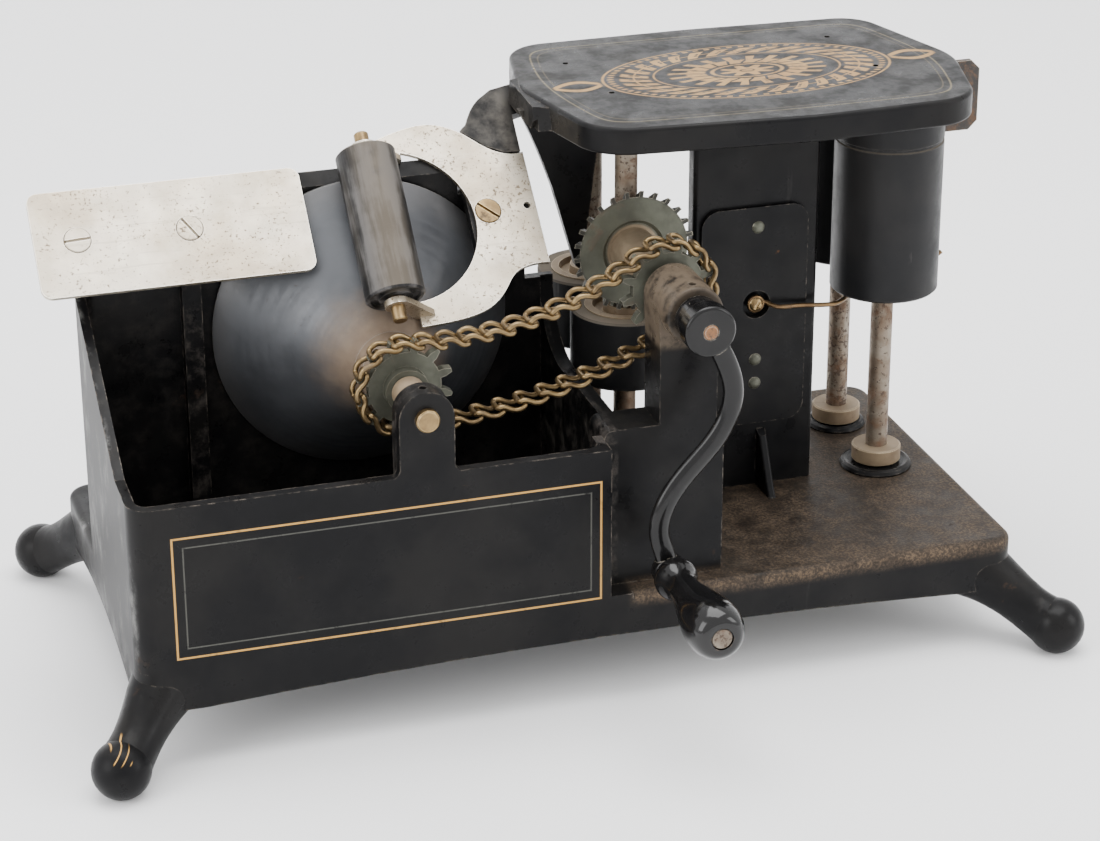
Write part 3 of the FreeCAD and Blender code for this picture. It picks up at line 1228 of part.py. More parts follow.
def exit_guide():
    """Sheet guide hung from the table's right end, in the plane the envelopes leave by."""
    plane = size("frontRollY") + size("rollSpacing") / 2 - 0.6
    rim = size("tableTop") - size("tableRim")
    left, right = size("rightRollX") + 14.5, size("rightRollX") + 50.5
    low, high = rim - 26.5, rim + 5.0
    step = size("baseRight") + 8.5
    points = [(left, low), (right - 4, low), (right, low + 4), (right, high - 4), (right - 4, high),
              (step, high), (step, rim), (left, rim)]
    from_shape("exit_guide", along_y(points, plane - 1.2, plane + 1.2))


guide_wire()
exit_guide()


# ---------- chain ----------

def chain_route():
    """Point and heading of every link: taut run, half a turn, slack run, half a turn."""
    half_turn = int(size("chainTeeth")) // 2
    radius = size("chainPitch") / 2 / math.sin(math.pi / size("chainTeeth"))
    near, far = Vector(size("discX"), 0, size("discZ")), Vector(size("crankX"), 0, size("crankZ"))
    line = (far - near).normalize()
    up = Vector(-line.z, 0, line.x)
    span, sag = (far - near).Length, size("chainSag")
    run = round(span / size("chainPitch"))
    placed = []
    for k in range(run):
        placed.append((near + up * radius + line * (span * k / run), line))
    for k in range(half_turn):
        angle = math.pi * k / half_turn
        outward = up * math.cos(angle) + line * math.sin(angle)
        placed.append((far + outward * radius, line * math.cos(angle) - up * math.sin(angle)))
    for k in range(run):
        t = k / run
        droop = Vector(0, 0, -4 * sag * t * (1 - t))
        heading = line * -span + Vector(0, 0, -4 * sag * (1 - 2 * t))
        placed.append((far - up * radius - line * (span * t) + droop, heading.normalize()))
    for k in range(half_turn):
        angle = math.pi * k / half_turn
        outward = up * -math.cos(angle) - line * math.sin(angle)
        placed.append((near + outward * radius, up * math.sin(angle) - line * math.cos(angle)))
    return placed


def chain_link():
    """One wire loop whose front end steps down, so that the next loop's rear end passes over it."""
    wire = size("chainWire") / 2
    side = size("chainWidth") / 2 - wire
    reach = size("chainPitch") * 0.66
    bend = 1.5
    high, low = 1.1, -1.6
    tip = reach - 0.4
    half_loop = [(-reach, side - bend, high), (-reach + bend, side, high), (-1.0, side, high),
                 (2.3, side, low), (tip - bend, side, low), (tip, side - bend, low)]
    points = [Vector(x, y, z) for x, y, z in half_loop]
    points += [Vector(x, -y, z) for x, y, z in reversed(half_loop)]
    pieces = []
    for i, point in enumerate(points):
        following = points[(i + 1) % len(points)]
        pieces += [Part.makeSphere(wire, point), rod(wire, point, following)]
    return grown(pieces)


def drive_chain():
    link = chain_link()
    copies = []
    for place, heading in chain_route():
        up = Vector(-heading.z, 0, heading.x)
        across = up.cross(heading)
        frame = FreeCAD.Matrix(heading.x, across.x, up.x, place.x, heading.y, across.y, up.y, size("chainY"),
                               heading.z, across.z, up.z, place.z, 0, 0, 0, 1)
        copy = link.copy()
        copy.Placement = Placement(frame).multiply(link.Placement)
        copies.append(copy)
    from_shape("drive_chain", Part.makeCompound(copies))


drive_chain()


# ---------- check and write ----------

doc.recompute()
for obj in doc.Objects:
    if "Invalid" in obj.State or "Error" in obj.State:
        raise RuntimeError("failed: " + obj.Name + " " + str(obj.State))
for obj in nodes:
    if obj.Shape.isNull() or not obj.Shape.isValid():
        raise RuntimeError("bad shape: " + obj.Label)

os.makedirs("parts", exist_ok=True)
for obj in nodes:
    obj.Shape.exportStep("parts/" + obj.Label + ".step")
    box = obj.Shape.BoundBox
    print(obj.Label, len(obj.Shape.Solids), round(obj.Shape.Volume),
          [round(v, 1) for v in (box.XMin, box.XMax, box.YMin, box.YMax, box.ZMin, box.ZMax)])
whole = Part.makeCompound([obj.Shape for obj in nodes]).BoundBox
print(len(nodes), "nodes", [round(v, 2) for v in (whole.XMin, whole.XMax, whole.YMin, whole.YMax, whole.ZMin, whole.ZMax)])
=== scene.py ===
import math

import bpy
from mathutils import Matrix, Vector


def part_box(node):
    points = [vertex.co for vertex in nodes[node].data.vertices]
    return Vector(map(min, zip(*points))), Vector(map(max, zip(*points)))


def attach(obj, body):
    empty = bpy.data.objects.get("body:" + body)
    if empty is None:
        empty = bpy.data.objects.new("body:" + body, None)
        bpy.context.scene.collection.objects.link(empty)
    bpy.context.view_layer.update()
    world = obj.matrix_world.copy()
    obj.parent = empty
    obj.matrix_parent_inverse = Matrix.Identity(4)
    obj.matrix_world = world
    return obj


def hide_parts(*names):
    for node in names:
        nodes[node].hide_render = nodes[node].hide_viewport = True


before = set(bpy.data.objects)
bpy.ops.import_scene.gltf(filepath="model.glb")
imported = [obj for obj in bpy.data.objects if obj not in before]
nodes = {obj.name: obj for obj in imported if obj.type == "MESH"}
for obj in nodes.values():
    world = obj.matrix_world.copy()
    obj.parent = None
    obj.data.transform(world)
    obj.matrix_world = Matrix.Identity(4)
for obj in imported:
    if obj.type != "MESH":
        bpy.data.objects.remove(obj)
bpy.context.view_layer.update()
rollNames = ["front_left", "rear_left", "front_right", "rear_right"]
print("frame loaded,", len(nodes), "nodes")

# small tools for wiring node trees


def put(tree, kind, **settings):
    node = tree.nodes.new("ShaderNode" + kind)
    for key, value in settings.items():
        setattr(node, key, value)
    return node


def feed(tree, socket, value):
    if isinstance(value, bpy.types.NodeSocket):
        tree.links.new(value, socket)
    elif value is not None:
        socket.default_value = value


def calc(tree, operation, a, b=None, c=None, clamp=False):
    node = put(tree, "Math", operation=operation, use_clamp=clamp)
    for socket, value in zip(node.inputs, (a, b, c)):
        feed(tree, socket, value)
    return node.outputs[0]


def blendColour(tree, factor, below, above):
    node = put(tree, "Mix", data_type="RGBA", clamp_factor=True)
    feed(tree, node.inputs[0], factor)
    feed(tree, node.inputs[6], below)
    feed(tree, node.inputs[7], above)
    return node.outputs[2]


def blendValue(tree, factor, below, above):
    node = put(tree, "Mix", data_type="FLOAT", clamp_factor=True)
    feed(tree, node.inputs[0], factor)
    feed(tree, node.inputs[2], below)
    feed(tree, node.inputs[3], above)
    return node.outputs[0]


# smooth step from 0 at low to 1 at high
def ramp(tree, value, low, high):
    node = put(tree, "MapRange", interpolation_type="SMOOTHSTEP")
    for socket, number in zip(node.inputs, (value, low, high)):
        feed(tree, socket, number)
    return node.outputs[0]


def noise(tree, place, scale, detail=4.0, rough=0.55, warp=0.0):
    node = put(tree, "TexNoise")
    feed(tree, node.inputs["Vector"], place)
    feed(tree, node.inputs["Scale"], scale)
    feed(tree, node.inputs["Detail"], detail)
    feed(tree, node.inputs["Roughness"], rough)
    feed(tree, node.inputs["Distortion"], warp)
    return node.outputs["Fac"]


def stretched(tree, place, scale):
    node = put(tree, "Mapping")
    feed(tree, node.inputs["Vector"], place)
    feed(tree, node.inputs["Scale"], scale)
    return node.outputs[0]


def objectPlace(tree):
    return put(tree, "TexCoord").outputs["Object"]


def newGroup(name, inputs, outputs):
    group = bpy.data.node_groups.new(name, "ShaderNodeTree")
    for label, kind, value in inputs:
        socket = group.interface.new_socket(label, in_out="INPUT", socket_type="NodeSocket" + kind)
        socket.default_value = value
    for label, kind in outputs:
        group.interface.new_socket(label, in_out="OUTPUT", socket_type="NodeSocket" + kind)
    return group, group.nodes.new("NodeGroupInput").outputs, group.nodes.new("NodeGroupOutput").inputs


def place(tree, group, **values):
    node = put(tree, "Group", node_tree=group)
    for label, value in values.items():
        feed(tree, node.inputs[label], value)
    return node.outputs[0]


# shared effects, each built once


def buildEdgeWear():
    group, given, out = newGroup("edgeWear", [("Width", "Float", 0.0008), ("Grain", "Float", 300.0),
                                              ("Amount", "Float", 0.5)], [("Mask", "Float")])
    bevel = put(group, "Bevel", samples=4)
    feed(group, bevel.inputs["Radius"], given["Width"])
    shape = put(group, "NewGeometry")
    facing = put(group, "VectorMath", operation="DOT_PRODUCT")
    group.links.new(bevel.outputs[0], facing.inputs[0])
    group.links.new(shape.outputs["Normal"], facing.inputs[1])
    edge = ramp(group, facing.outputs["Value"], 0.995, 0.86)
    grain = noise(group, objectPlace(group), given["Grain"], 5.0, 0.65)
    broken = calc(group, "ADD", grain, calc(group, "MULTIPLY_ADD", given["Amount"], 0.8, -0.55))
    feed(group, out["Mask"], calc(group, "MULTIPLY", edge, ramp(group, broken, 0.1, 0.32), clamp=True))
    return group


def buildSettled():
    group, given, out = newGroup("settledDust", [("Grain", "Float", 60.0), ("Amount", "Float", 0.5)],
                                 [("Mask", "Float")])
    upward = put(group, "SeparateXYZ")
    group.links.new(put(group, "NewGeometry").outputs["Normal"], upward.inputs[0])
    flat = ramp(group, upward.outputs["Z"], 0.35, 0.95)
    cloud = noise(group, objectPlace(group), given["Grain"], 7.0, 0.62)
    cover = ramp(group, calc(group, "ADD", cloud, calc(group, "SUBTRACT", given["Amount"], 0.5)), 0.35, 0.72)
    feed(group, out["Mask"], calc(group, "MULTIPLY", flat, cover, clamp=True))
    return group


def buildBloom():
    group, given, out = newGroup("rustBloom", [("Grain", "Float", 40.0), ("Level", "Float", 0.6),
                                               ("Soft", "Float", 0.08)], [("Mask", "Float")])
    spread = noise(group, objectPlace(group), given["Grain"], 8.0, 0.68, 0.4)
    top = calc(group, "ADD", given["Level"], given["Soft"])
    feed(group, out["Mask"], ramp(group, spread, given["Level"], top))
    return group


def buildSpeckle():
    group, given, out = newGroup("speckle", [("Grain", "Float", 500.0), ("Level", "Float", 0.62)],
                                 [("Mask", "Float")])
    where = objectPlace(group)
    fine = noise(group, where, given["Grain"], 3.0, 0.7)
    patches = noise(group, where, calc(group, "MULTIPLY", given["Grain"], 0.07), 4.0, 0.6)
    value = calc(group, "ADD", fine, calc(group, "MULTIPLY_ADD", patches, 0.35, -0.175))
    feed(group, out["Mask"], ramp(group, value, given["Level"], calc(group, "ADD", given["Level"], 0.06)))
    return group


def buildScratch():
    group, given, out = newGroup("scratches", [("Stretch", "Vector", (20.0, 400.0, 400.0)),
                                               ("Level", "Float", 0.66)], [("Mask", "Float")])
    lines = noise(group, stretched(group, objectPlace(group), given["Stretch"]), 1.0, 5.0, 0.6, 0.3)
    feed(group, out["Mask"], ramp(group, lines, given["Level"], calc(group, "ADD", given["Level"], 0.05)))
    return group


def buildWithin():
    group, given, out = newGroup("withinBox", [("Low", "Vector", (-1.0, -1.0, -1.0)),
                                               ("High", "Vector", (1.0, 1.0, 1.0)), ("Soft", "Float", 0.004)],
                                 [("Mask", "Float")])
    spot = put(group, "SeparateXYZ")
    group.links.new(objectPlace(group), spot.inputs[0])
    low, high = put(group, "SeparateXYZ"), put(group, "SeparateXYZ")
    group.links.new(given["Low"], low.inputs[0])
    group.links.new(given["High"], high.inputs[0])
    mask = None
    for axis in range(3):
        above = calc(group, "SUBTRACT", spot.outputs[axis], low.outputs[axis])
        under = calc(group, "SUBTRACT", high.outputs[axis], spot.outputs[axis])
        inside = ramp(group, calc(group, "MINIMUM", above, under), 0.0, given["Soft"])
        mask = inside if mask is None else calc(group, "MULTIPLY", mask, inside)
    feed(group, out["Mask"], mask)
    return group


edgeWear, settledDust, rustBloom = buildEdgeWear(), buildSettled(), buildBloom()
speckle, scratches, withinBox = buildSpeckle(), buildScratch(), buildWithin()
print("shared effects built")

# one finish for every metal, paint and rubber; each material has its own numbers

bumpDepth = 0.0004
tintGrain, pitGrain = 420.0, 700.0


def makeFinish(name, finish, extra=None):
    material = bpy.data.materials.new(name)
    material.use_nodes = True
    tree = material.node_tree
    shader = tree.nodes["Principled BSDF"]
    where = objectPlace(tree)
    shader.inputs["Specular IOR Level"].default_value = finish.get("specular", 0.5)
    shader.inputs["Coat Roughness"].default_value = finish.get("coatRough", 0.25)
    cloud = noise(tree, where, finish.get("cloud", 35.0), 6.0, 0.6)
    colour = blendColour(tree, ramp(tree, cloud, 0.35, 0.68), finish["base"], finish["shade"])
    patch = noise(tree, where, finish.get("cloud", 35.0) * 3.1, 6.0, 0.65)
    rough = blendValue(tree, ramp(tree, patch, 0.35, 0.7), *finish["rough"])
    metal = finish.get("metal", 0.0)
    height = calc(tree, "MULTIPLY", noise(tree, where, finish.get("orange", 220.0), 4.0, 0.55), 0.4)
    coat = finish.get("coat", 0.0)
    if "streak" in finish:
        streak = place(tree, scratches, Stretch=finish["streak"]["stretch"], Level=finish["streak"]["level"])
        colour = blendColour(tree, calc(tree, "MULTIPLY", streak, finish["streak"]["amount"]), colour,
                             finish["streak"]["colour"])
        height = calc(tree, "MULTIPLY_ADD", streak, finish["streak"].get("depth", -0.3), height)
    if "fleck" in finish:
        fleck = place(tree, speckle, Grain=finish["fleck"]["grain"], Level=finish["fleck"]["level"])
        colour = blendColour(tree, calc(tree, "MULTIPLY", fleck, finish["fleck"].get("amount", 0.85)), colour,
                             finish["fleck"]["colour"])
        rough = blendValue(tree, fleck, rough, 0.7)
        metal = calc(tree, "MULTIPLY", calc(tree, "SUBTRACT", 1.0, calc(tree, "MULTIPLY", fleck, 0.8)), metal)
        height = calc(tree, "MULTIPLY_ADD", fleck, -0.5, height)
    if "rust" in finish:
        bloom = place(tree, rustBloom, Grain=finish["rust"]["grain"], Level=finish["rust"]["level"],
                      Soft=finish["rust"].get("soft", 0.08))
        bloom = calc(tree, "MULTIPLY", bloom, finish["rust"].get("amount", 0.9))
        tint = noise(tree, where, tintGrain, 4.0)
        tint = blendColour(tree, tint, finish["rust"]["colour"], finish["rust"]["dark"])
        colour = blendColour(tree, bloom, colour, tint)
        rough = blendValue(tree, bloom, rough, 0.85)
        metal = calc(tree, "MULTIPLY", calc(tree, "SUBTRACT", 1.0, bloom), metal)
        pits = calc(tree, "MULTIPLY", bloom, noise(tree, where, pitGrain, 4.0))
        height = calc(tree, "MULTIPLY_ADD", pits, 1.2, height)
    parts = {"tree": tree, "where": where, "colour": colour, "rough": rough, "metal": metal, "height": height,
             "coat": coat}
    if extra:
        extra(parts)
    colour, rough, metal, height = parts["colour"], parts["rough"], parts["metal"], parts["height"]
    if "dust" in finish:
        dust = place(tree, settledDust, Grain=finish["dust"]["grain"], Amount=finish["dust"]["amount"])
        dust = calc(tree, "MULTIPLY", dust, finish["dust"].get("cover", 0.7))
        colour = blendColour(tree, dust, colour, finish["dust"]["colour"])
        rough = blendValue(tree, dust, rough, 0.9)
        metal = calc(tree, "MULTIPLY", calc(tree, "SUBTRACT", 1.0, dust), metal)
    if "wear" in finish:
        worn = place(tree, edgeWear, Width=finish["wear"]["width"], Grain=finish["wear"].get("grain", 300.0),
                     Amount=finish["wear"]["amount"])
        colour = blendColour(tree, worn, colour, finish["wear"]["colour"])
        rough = blendValue(tree, worn, rough, finish["wear"].get("rough", 0.4))
        metal = blendValue(tree, worn, metal, finish["wear"].get("metal", 0.8))
    bump = put(tree, "Bump")
    bump.inputs["Strength"].default_value = finish.get("bump", 0.25)
    bump.inputs["Distance"].default_value = bumpDepth
    feed(tree, bump.inputs["Height"], height)
    feed(tree, shader.inputs["Base Color"], colour)
    feed(tree, shader.inputs["Roughness"], rough)
    feed(tree, shader.inputs["Metallic"], metal)
    feed(tree, shader.inputs["Coat Weight"], parts["coat"])
    feed(tree, shader.inputs["Normal"], bump.outputs[0])
    return material


# distance from the axis, along Y, of a round piece that fills this box
def fromAxis(tree, where, box):
    low, high = box
    spot = put(tree, "SeparateXYZ")
    tree.links.new(where, spot.inputs[0])
    x = calc(tree, "SUBTRACT", spot.outputs["X"], (low[0] + high[0]) / 2)
    z = calc(tree, "SUBTRACT", spot.outputs["Z"], (low[2] + high[2]) / 2)
    return calc(tree, "SQRT", calc(tree, "ADD", calc(tree, "MULTIPLY", x, x), calc(tree, "MULTIPLY", z, z)))


def dress(material, *names):
    for name in names:
        slots = nodes[name].material_slots
        if not slots:
            nodes[name].data.materials.append(material)
        for slot in slots:
            slot.material = material


# black japan of the castings: dusty base, gilded panel, table with its gilding

japan = {
    "base": (0.0036, 0.0036, 0.0042, 1), "shade": (0.0085, 0.008, 0.0078, 1),
    "rough": (0.26, 0.5), "cloud": 26.0,
    "coat": 0.0, "specular": 0.12, "orange": 260.0, "bump": 0.22,
    "streak": {"stretch": (60.0, 60.0, 9.0), "level": 0.66, "amount": 0.18,
               "colour": (0.04, 0.037, 0.035, 1)},
    "rust": {"grain": 34.0, "level": 0.66, "soft": 0.05, "amount": 0.4, "colour": (0.07, 0.036, 0.018, 1),
             "dark": (0.03, 0.02, 0.014, 1)},
    "dust": {"grain": 55.0, "amount": 0.34, "cover": 0.15, "colour": (0.085, 0.072, 0.056, 1)},
    "wear": {"width": 0.0009, "amount": 0.26, "colour": (0.14, 0.12, 0.10, 1), "rough": 0.45, "metal": 0.4},
}
panel = {"low": (-0.173, 0.048), "high": (0.001, 0.100), "line": 0.00042, "fine": 0.0003, "inset": 0.0042,
         "gold": (0.46, 0.26, 0.075, 1), "grey": (0.085, 0.085, 0.075, 1)}
# where each mark lies on the base casting, and its colours
casting = {
    "deck": {"Low": (0.012, -0.075, 0.040), "High": (0.195, 0.13, 0.0515), "Soft": 0.006},
    "trough": {"Low": (-0.1855, -0.0585, 0.046), "High": (0.012, 0.0465, 0.20), "Soft": 0.0015},
    "boss": {"Low": (0.022, -0.064, 0.148), "High": (0.058, -0.030, 0.185), "Soft": 0.004},
    "ticks": {"Low": (-0.2045, -0.086, 0.0165), "High": (-0.1965, -0.066, 0.0245), "Soft": 0.001},
    "front": (-0.0610, -0.0616), "leftFace": (-0.1865, -0.1885), "leftRise": (0.03, 0.05), "tickPace": 1800.0,
    "soil": (0.055, 0.042, 0.031, 1), "grit": (0.15, 0.105, 0.068, 1), "paste": (0.058, 0.05, 0.044, 1),
    "scuff": (0.30, 0.30, 0.29, 1), "cake": (0.12, 0.092, 0.065, 1),
}


# mask of a rectangle's outline in X and Z
def frameLine(tree, spot, low, high, half):
    reach = []
    for axis, k in (("X", 0), ("Z", 1)):
        middle, size = (low[k] + high[k]) / 2, (high[k] - low[k]) / 2
        offset = calc(tree, "ABSOLUTE", calc(tree, "SUBTRACT", spot.outputs[axis], middle))
        reach.append(calc(tree, "SUBTRACT", offset, size))
    away = calc(tree, "ABSOLUTE", calc(tree, "MAXIMUM", reach[0], reach[1]))
    return ramp(tree, away, half * 1.3, half * 0.7)


def castingMarks(parts):
    tree, where = parts["tree"], parts["where"]
    spot = put(tree, "SeparateXYZ")
    tree.links.new(where, spot.inputs[0])
    front = ramp(tree, spot.outputs["Y"], *casting["front"])
    # rusty, gritty top of the base plate right of the trough
    deck = place(tree, withinBox, **casting["deck"])
    grit = ramp(tree, noise(tree, where, 75.0, 9.0, 0.72), 0.36, 0.62)
    fine = ramp(tree, noise(tree, where, 900.0, 3.0, 0.7), 0.4, 0.65)
    soil = calc(tree, "MULTIPLY", deck, calc(tree, "MULTIPLY_ADD", grit, 0.55, 0.3))
    earth = blendColour(tree, fine, casting["soil"], casting["grit"])
    parts["colour"] = blendColour(tree, soil, parts["colour"], earth)
    parts["rough"] = blendValue(tree, soil, parts["rough"], 0.82)
    parts["height"] = calc(tree, "MULTIPLY_ADD", calc(tree, "MULTIPLY", soil, fine), 1.0, parts["height"])
    # scale and dried paste inside the trough
    inside = place(tree, withinBox, **casting["trough"])
    crust = ramp(tree, noise(tree, where, 95.0, 9.0, 0.74), 0.45, 0.66)
    scale = calc(tree, "MULTIPLY", inside, crust)
    crusted = calc(tree, "MULTIPLY", scale, 0.75)
    parts["colour"] = blendColour(tree, crusted, parts["colour"], casting["paste"])
    parts["rough"] = blendValue(tree, scale, parts["rough"], 0.75)
    parts["height"] = calc(tree, "MULTIPLY_ADD", scale, 1.1, parts["height"])
    # pale scuffs on the outside of the left wall
    outside = ramp(tree, spot.outputs["X"], *casting["leftFace"])
    left = calc(tree, "MULTIPLY", outside, ramp(tree, spot.outputs["Z"], *casting["leftRise"]))
    scuff = ramp(tree, noise(tree, stretched(tree, where, (30.0, 30.0, 16.0)), 1.6, 8.0, 0.75), 0.5, 0.74)
    scuffed = calc(tree, "MULTIPLY", left, scuff)
    scuffed = calc(tree, "MULTIPLY", scuffed, 0.55)
    parts["colour"] = blendColour(tree, scuffed, parts["colour"], casting["scuff"])
    parts["rough"] = blendValue(tree, left, parts["rough"], 0.42)
    # oily dust on the end of the crank shaft's bearing
    boss = place(tree, withinBox, **casting["boss"])
    cake = calc(tree, "MULTIPLY", boss, ramp(tree, noise(tree, where, 130.0, 7.0, 0.7), 0.3, 0.55))
    cake = calc(tree, "MULTIPLY", cake, 0.7)
    parts["colour"] = blendColour(tree, cake, parts["colour"], casting["cake"])
    # gilded line with a grey one inside it, on the front
    worn = ramp(tree, noise(tree, where, 160.0, 6.0, 0.7), 0.30, 0.46)
    low, high, inset = panel["low"], panel["high"], panel["inset"]
    outer = calc(tree, "MULTIPLY", front, frameLine(tree, spot, low, high, panel["line"]))
    innerLow, innerHigh = (low[0] + inset, low[1] + inset), (high[0] - inset, high[1] - inset)
    inner = frameLine(tree, spot, innerLow, innerHigh, panel["fine"])
    inner = calc(tree, "MULTIPLY", calc(tree, "MULTIPLY", front, inner), worn)
    parts["colour"] = blendColour(tree, calc(tree, "MULTIPLY", inner, 0.7), parts["colour"], panel["grey"])
    gilt = calc(tree, "MULTIPLY", outer, calc(tree, "MULTIPLY_ADD", worn, 0.5, 0.5))
    parts["colour"] = blendColour(tree, gilt, parts["colour"], panel["gold"])
    # two short gilded ticks on the front left foot
    foot = place(tree, withinBox, **casting["ticks"])
    slant = calc(tree, "SUBTRACT", spot.outputs["X"], spot.outputs["Z"])
    lines = calc(tree, "SINE", calc(tree, "MULTIPLY", slant, casting["tickPace"]))
    tick = calc(tree, "MULTIPLY", foot, ramp(tree, lines, 0.82, 0.94))
    parts["colour"] = blendColour(tree, tick, parts["colour"], panel["gold"])


dress(makeFinish("japanCasting", japan, castingMarks), "base_casting")

gilding = {
    "corners": [(0.0015, 0.051), (0.013, 0.109), (0.095, 0.1095), (0.175, 0.105), (0.1925, 0.039),
                (0.178, -0.018), (0.108, -0.0215), (0.015, -0.013)],   # straight sides of the table in plan
    "soften": 0.018, "inset": 0.0085, "second": 0.0115,
    "gold": (0.40, 0.255, 0.10, 1), "dull": (0.28, 0.15, 0.055, 1), "pale": (0.13, 0.105, 0.06, 1),
    "top": (0.2288, 0.2294), "leftEnd": (0.004, 0.010),
    "saddle": {"Low": (-0.03, 0.015, 0.185), "High": (0.004, 0.075, 0.232), "Soft": 0.008},
    "rubbed": (0.16, 0.145, 0.125, 1),
    "centre": (0.1, 0.0445), "spread": (0.062, 0.034),
}


# how far a point lies from the table's edge, less than nothing inside
def tableEdge(tree, spot):
    corners = gilding["corners"]
    away = None
    for i, (x0, y0) in enumerate(corners):
        x1, y1 = corners[(i + 1) % len(corners)]
        length = math.hypot(x1 - x0, y1 - y0)
        nx, ny = -(y1 - y0) / length, (x1 - x0) / length
        along = calc(tree, "MULTIPLY_ADD", spot.outputs["X"], nx, -(nx * x0 + ny * y0))
        side = calc(tree, "MULTIPLY_ADD", spot.outputs["Y"], ny, along)
        away = side if away is None else calc(tree, "SMOOTH_MAX", away, side, gilding["soften"])
    return away


# oval wreath of leaves round a rosette, with a beaded border
def wreath(tree, spot):
    cx, cy = gilding["centre"]
    ax, ay = gilding["spread"]
    u = calc(tree, "MULTIPLY_ADD", spot.outputs["X"], 1 / ax, -cx / ax)
    v = calc(tree, "MULTIPLY_ADD", spot.outputs["Y"], 1 / ay, -cy / ay)
    r = calc(tree, "SQRT", calc(tree, "ADD", calc(tree, "MULTIPLY", u, u), calc(tree, "MULTIPLY", v, v)))
    turn = calc(tree, "ARCTAN2", v, u)

    def band(low, high, soft=0.012):
        rise = ramp(tree, r, low - soft, low + soft)
        return calc(tree, "MULTIPLY", rise, ramp(tree, r, high + soft, high - soft))

    def petals(count, lean, low, high):
        wave = calc(tree, "SINE", calc(tree, "ADD", calc(tree, "MULTIPLY", turn, float(count)),
                                       calc(tree, "MULTIPLY", r, float(lean))))
        return ramp(tree, wave, low, high)

    def together(first, *others):
        for other in others:
            first = calc(tree, "MAXIMUM", first, other)
        return first

    leafy = calc(tree, "MULTIPLY", band(0.70, 0.90), petals(30, 26, -0.25, -0.05))
    veins = calc(tree, "MULTIPLY", band(0.76, 0.84), petals(60, 52, 0.55, 0.75))
    leafy = calc(tree, "SUBTRACT", leafy, veins, clamp=True)
    vine = band(0.795, 0.808, 0.006)
    beads = calc(tree, "MULTIPLY", band(0.945, 0.985), petals(72, 0, 0.0, 0.2))
    rim = together(band(1.01, 1.028, 0.006), band(0.655, 0.668, 0.006))
    rays = calc(tree, "MULTIPLY", band(0.30, 0.56), petals(20, 0, 0.35, 0.5))
    short = calc(tree, "MULTIPLY", band(0.30, 0.43), petals(20, 20, -0.9, -0.7))
    tips = calc(tree, "MULTIPLY_ADD", petals(8, 0, -1.0, 1.0), 0.09, 0.12)
    star = ramp(tree, tips, r, calc(tree, "ADD", r, 0.02))
    star = calc(tree, "SUBTRACT", star, band(0.04, 0.055, 0.01), clamp=True)
    rosette = together(star, band(0.235, 0.262, 0.008))
    # a leafy spray at each side
    away = calc(tree, "SUBTRACT", calc(tree, "ABSOLUTE", u), 1.03)
    bend = calc(tree, "MULTIPLY", calc(tree, "SINE", calc(tree, "MULTIPLY", away, 9.0)), 0.16)
    curl = calc(tree, "ABSOLUTE", calc(tree, "SUBTRACT", calc(tree, "ABSOLUTE", v), bend))
    spray = calc(tree, "MULTIPLY", ramp(tree, curl, 0.055, 0.035), ramp(tree, away, 0.0, 0.03))
    spray = calc(tree, "MULTIPLY", spray, ramp(tree, away, 0.36, 0.33))
    return together(leafy, vine, beads, rim, rays, short, rosette, spray)


def tableMarks(parts):
    tree, where = parts["tree"], parts["where"]
    spot = put(tree, "SeparateXYZ")
    tree.links.new(where, spot.inputs[0])
    upper = ramp(tree, spot.outputs["Z"], *gilding["top"])
    right = ramp(tree, spot.outputs["X"], *gilding["leftEnd"])
    worn = ramp(tree, noise(tree, where, 210.0, 7.0, 0.72), 0.33, 0.5)
    edge = tableEdge(tree, spot)
    first = ramp(tree, calc(tree, "ABSOLUTE", calc(tree, "ADD", edge, gilding["inset"])), 0.0005, 0.00025)
    second = ramp(tree, calc(tree, "ABSOLUTE", calc(tree, "ADD", edge, gilding["second"])), 0.0004, 0.0002)
    lines = calc(tree, "MAXIMUM", first, calc(tree, "MULTIPLY", second, 0.5))
    lines = calc(tree, "MULTIPLY", lines, upper)
    lines = calc(tree, "MULTIPLY", lines, calc(tree, "MULTIPLY_ADD", worn, 0.6, 0.25))
    lines = calc(tree, "MULTIPLY", lines, right)
    parts["colour"] = blendColour(tree, lines, parts["colour"], gilding["pale"])
    gilt = calc(tree, "MULTIPLY", wreath(tree, spot), upper)
    gilt = calc(tree, "MULTIPLY", gilt, calc(tree, "MULTIPLY_ADD", worn, 0.45, 0.5))
    tone = blendColour(tree, noise(tree, where, 45.0, 5.0), gilding["gold"], gilding["dull"])
    parts["colour"] = blendColour(tree, gilt, parts["colour"], tone)
    parts["rough"] = blendValue(tree, gilt, parts["rough"], 0.45)
    # dust lies on the saddle, bright where the envelopes rubbed it
    saddle = place(tree, withinBox, **gilding["saddle"])
    rubbed = calc(tree, "MULTIPLY", saddle, ramp(tree, noise(tree, where, 60.0, 6.0, 0.6), 0.35, 0.6))
    rubbed = calc(tree, "MULTIPLY", rubbed, 0.5)
    parts["colour"] = blendColour(tree, rubbed, parts["colour"], gilding["rubbed"])


tableDust = {"grain": 40.0, "amount": 0.36, "cover": 0.3, "colour": (0.085, 0.08, 0.072, 1)}
dress(makeFinish("japanTable", dict(japan, dust=tableDust), tableMarks), "table_casting")
columnRust = {"grain": 60.0, "level": 0.70, "soft": 0.03, "amount": 0.8, "colour": (0.13, 0.06, 0.028, 1),
              "dark": (0.05, 0.028, 0.018, 1)}
dress(makeFinish("japanPlain", dict(japan, rust=columnRust)), "column", "column_cover",
      *[name + "_bush" for name in rollNames], "front_right_spool", "rear_right_spool")
print("castings dressed")

# nickel plates, screws

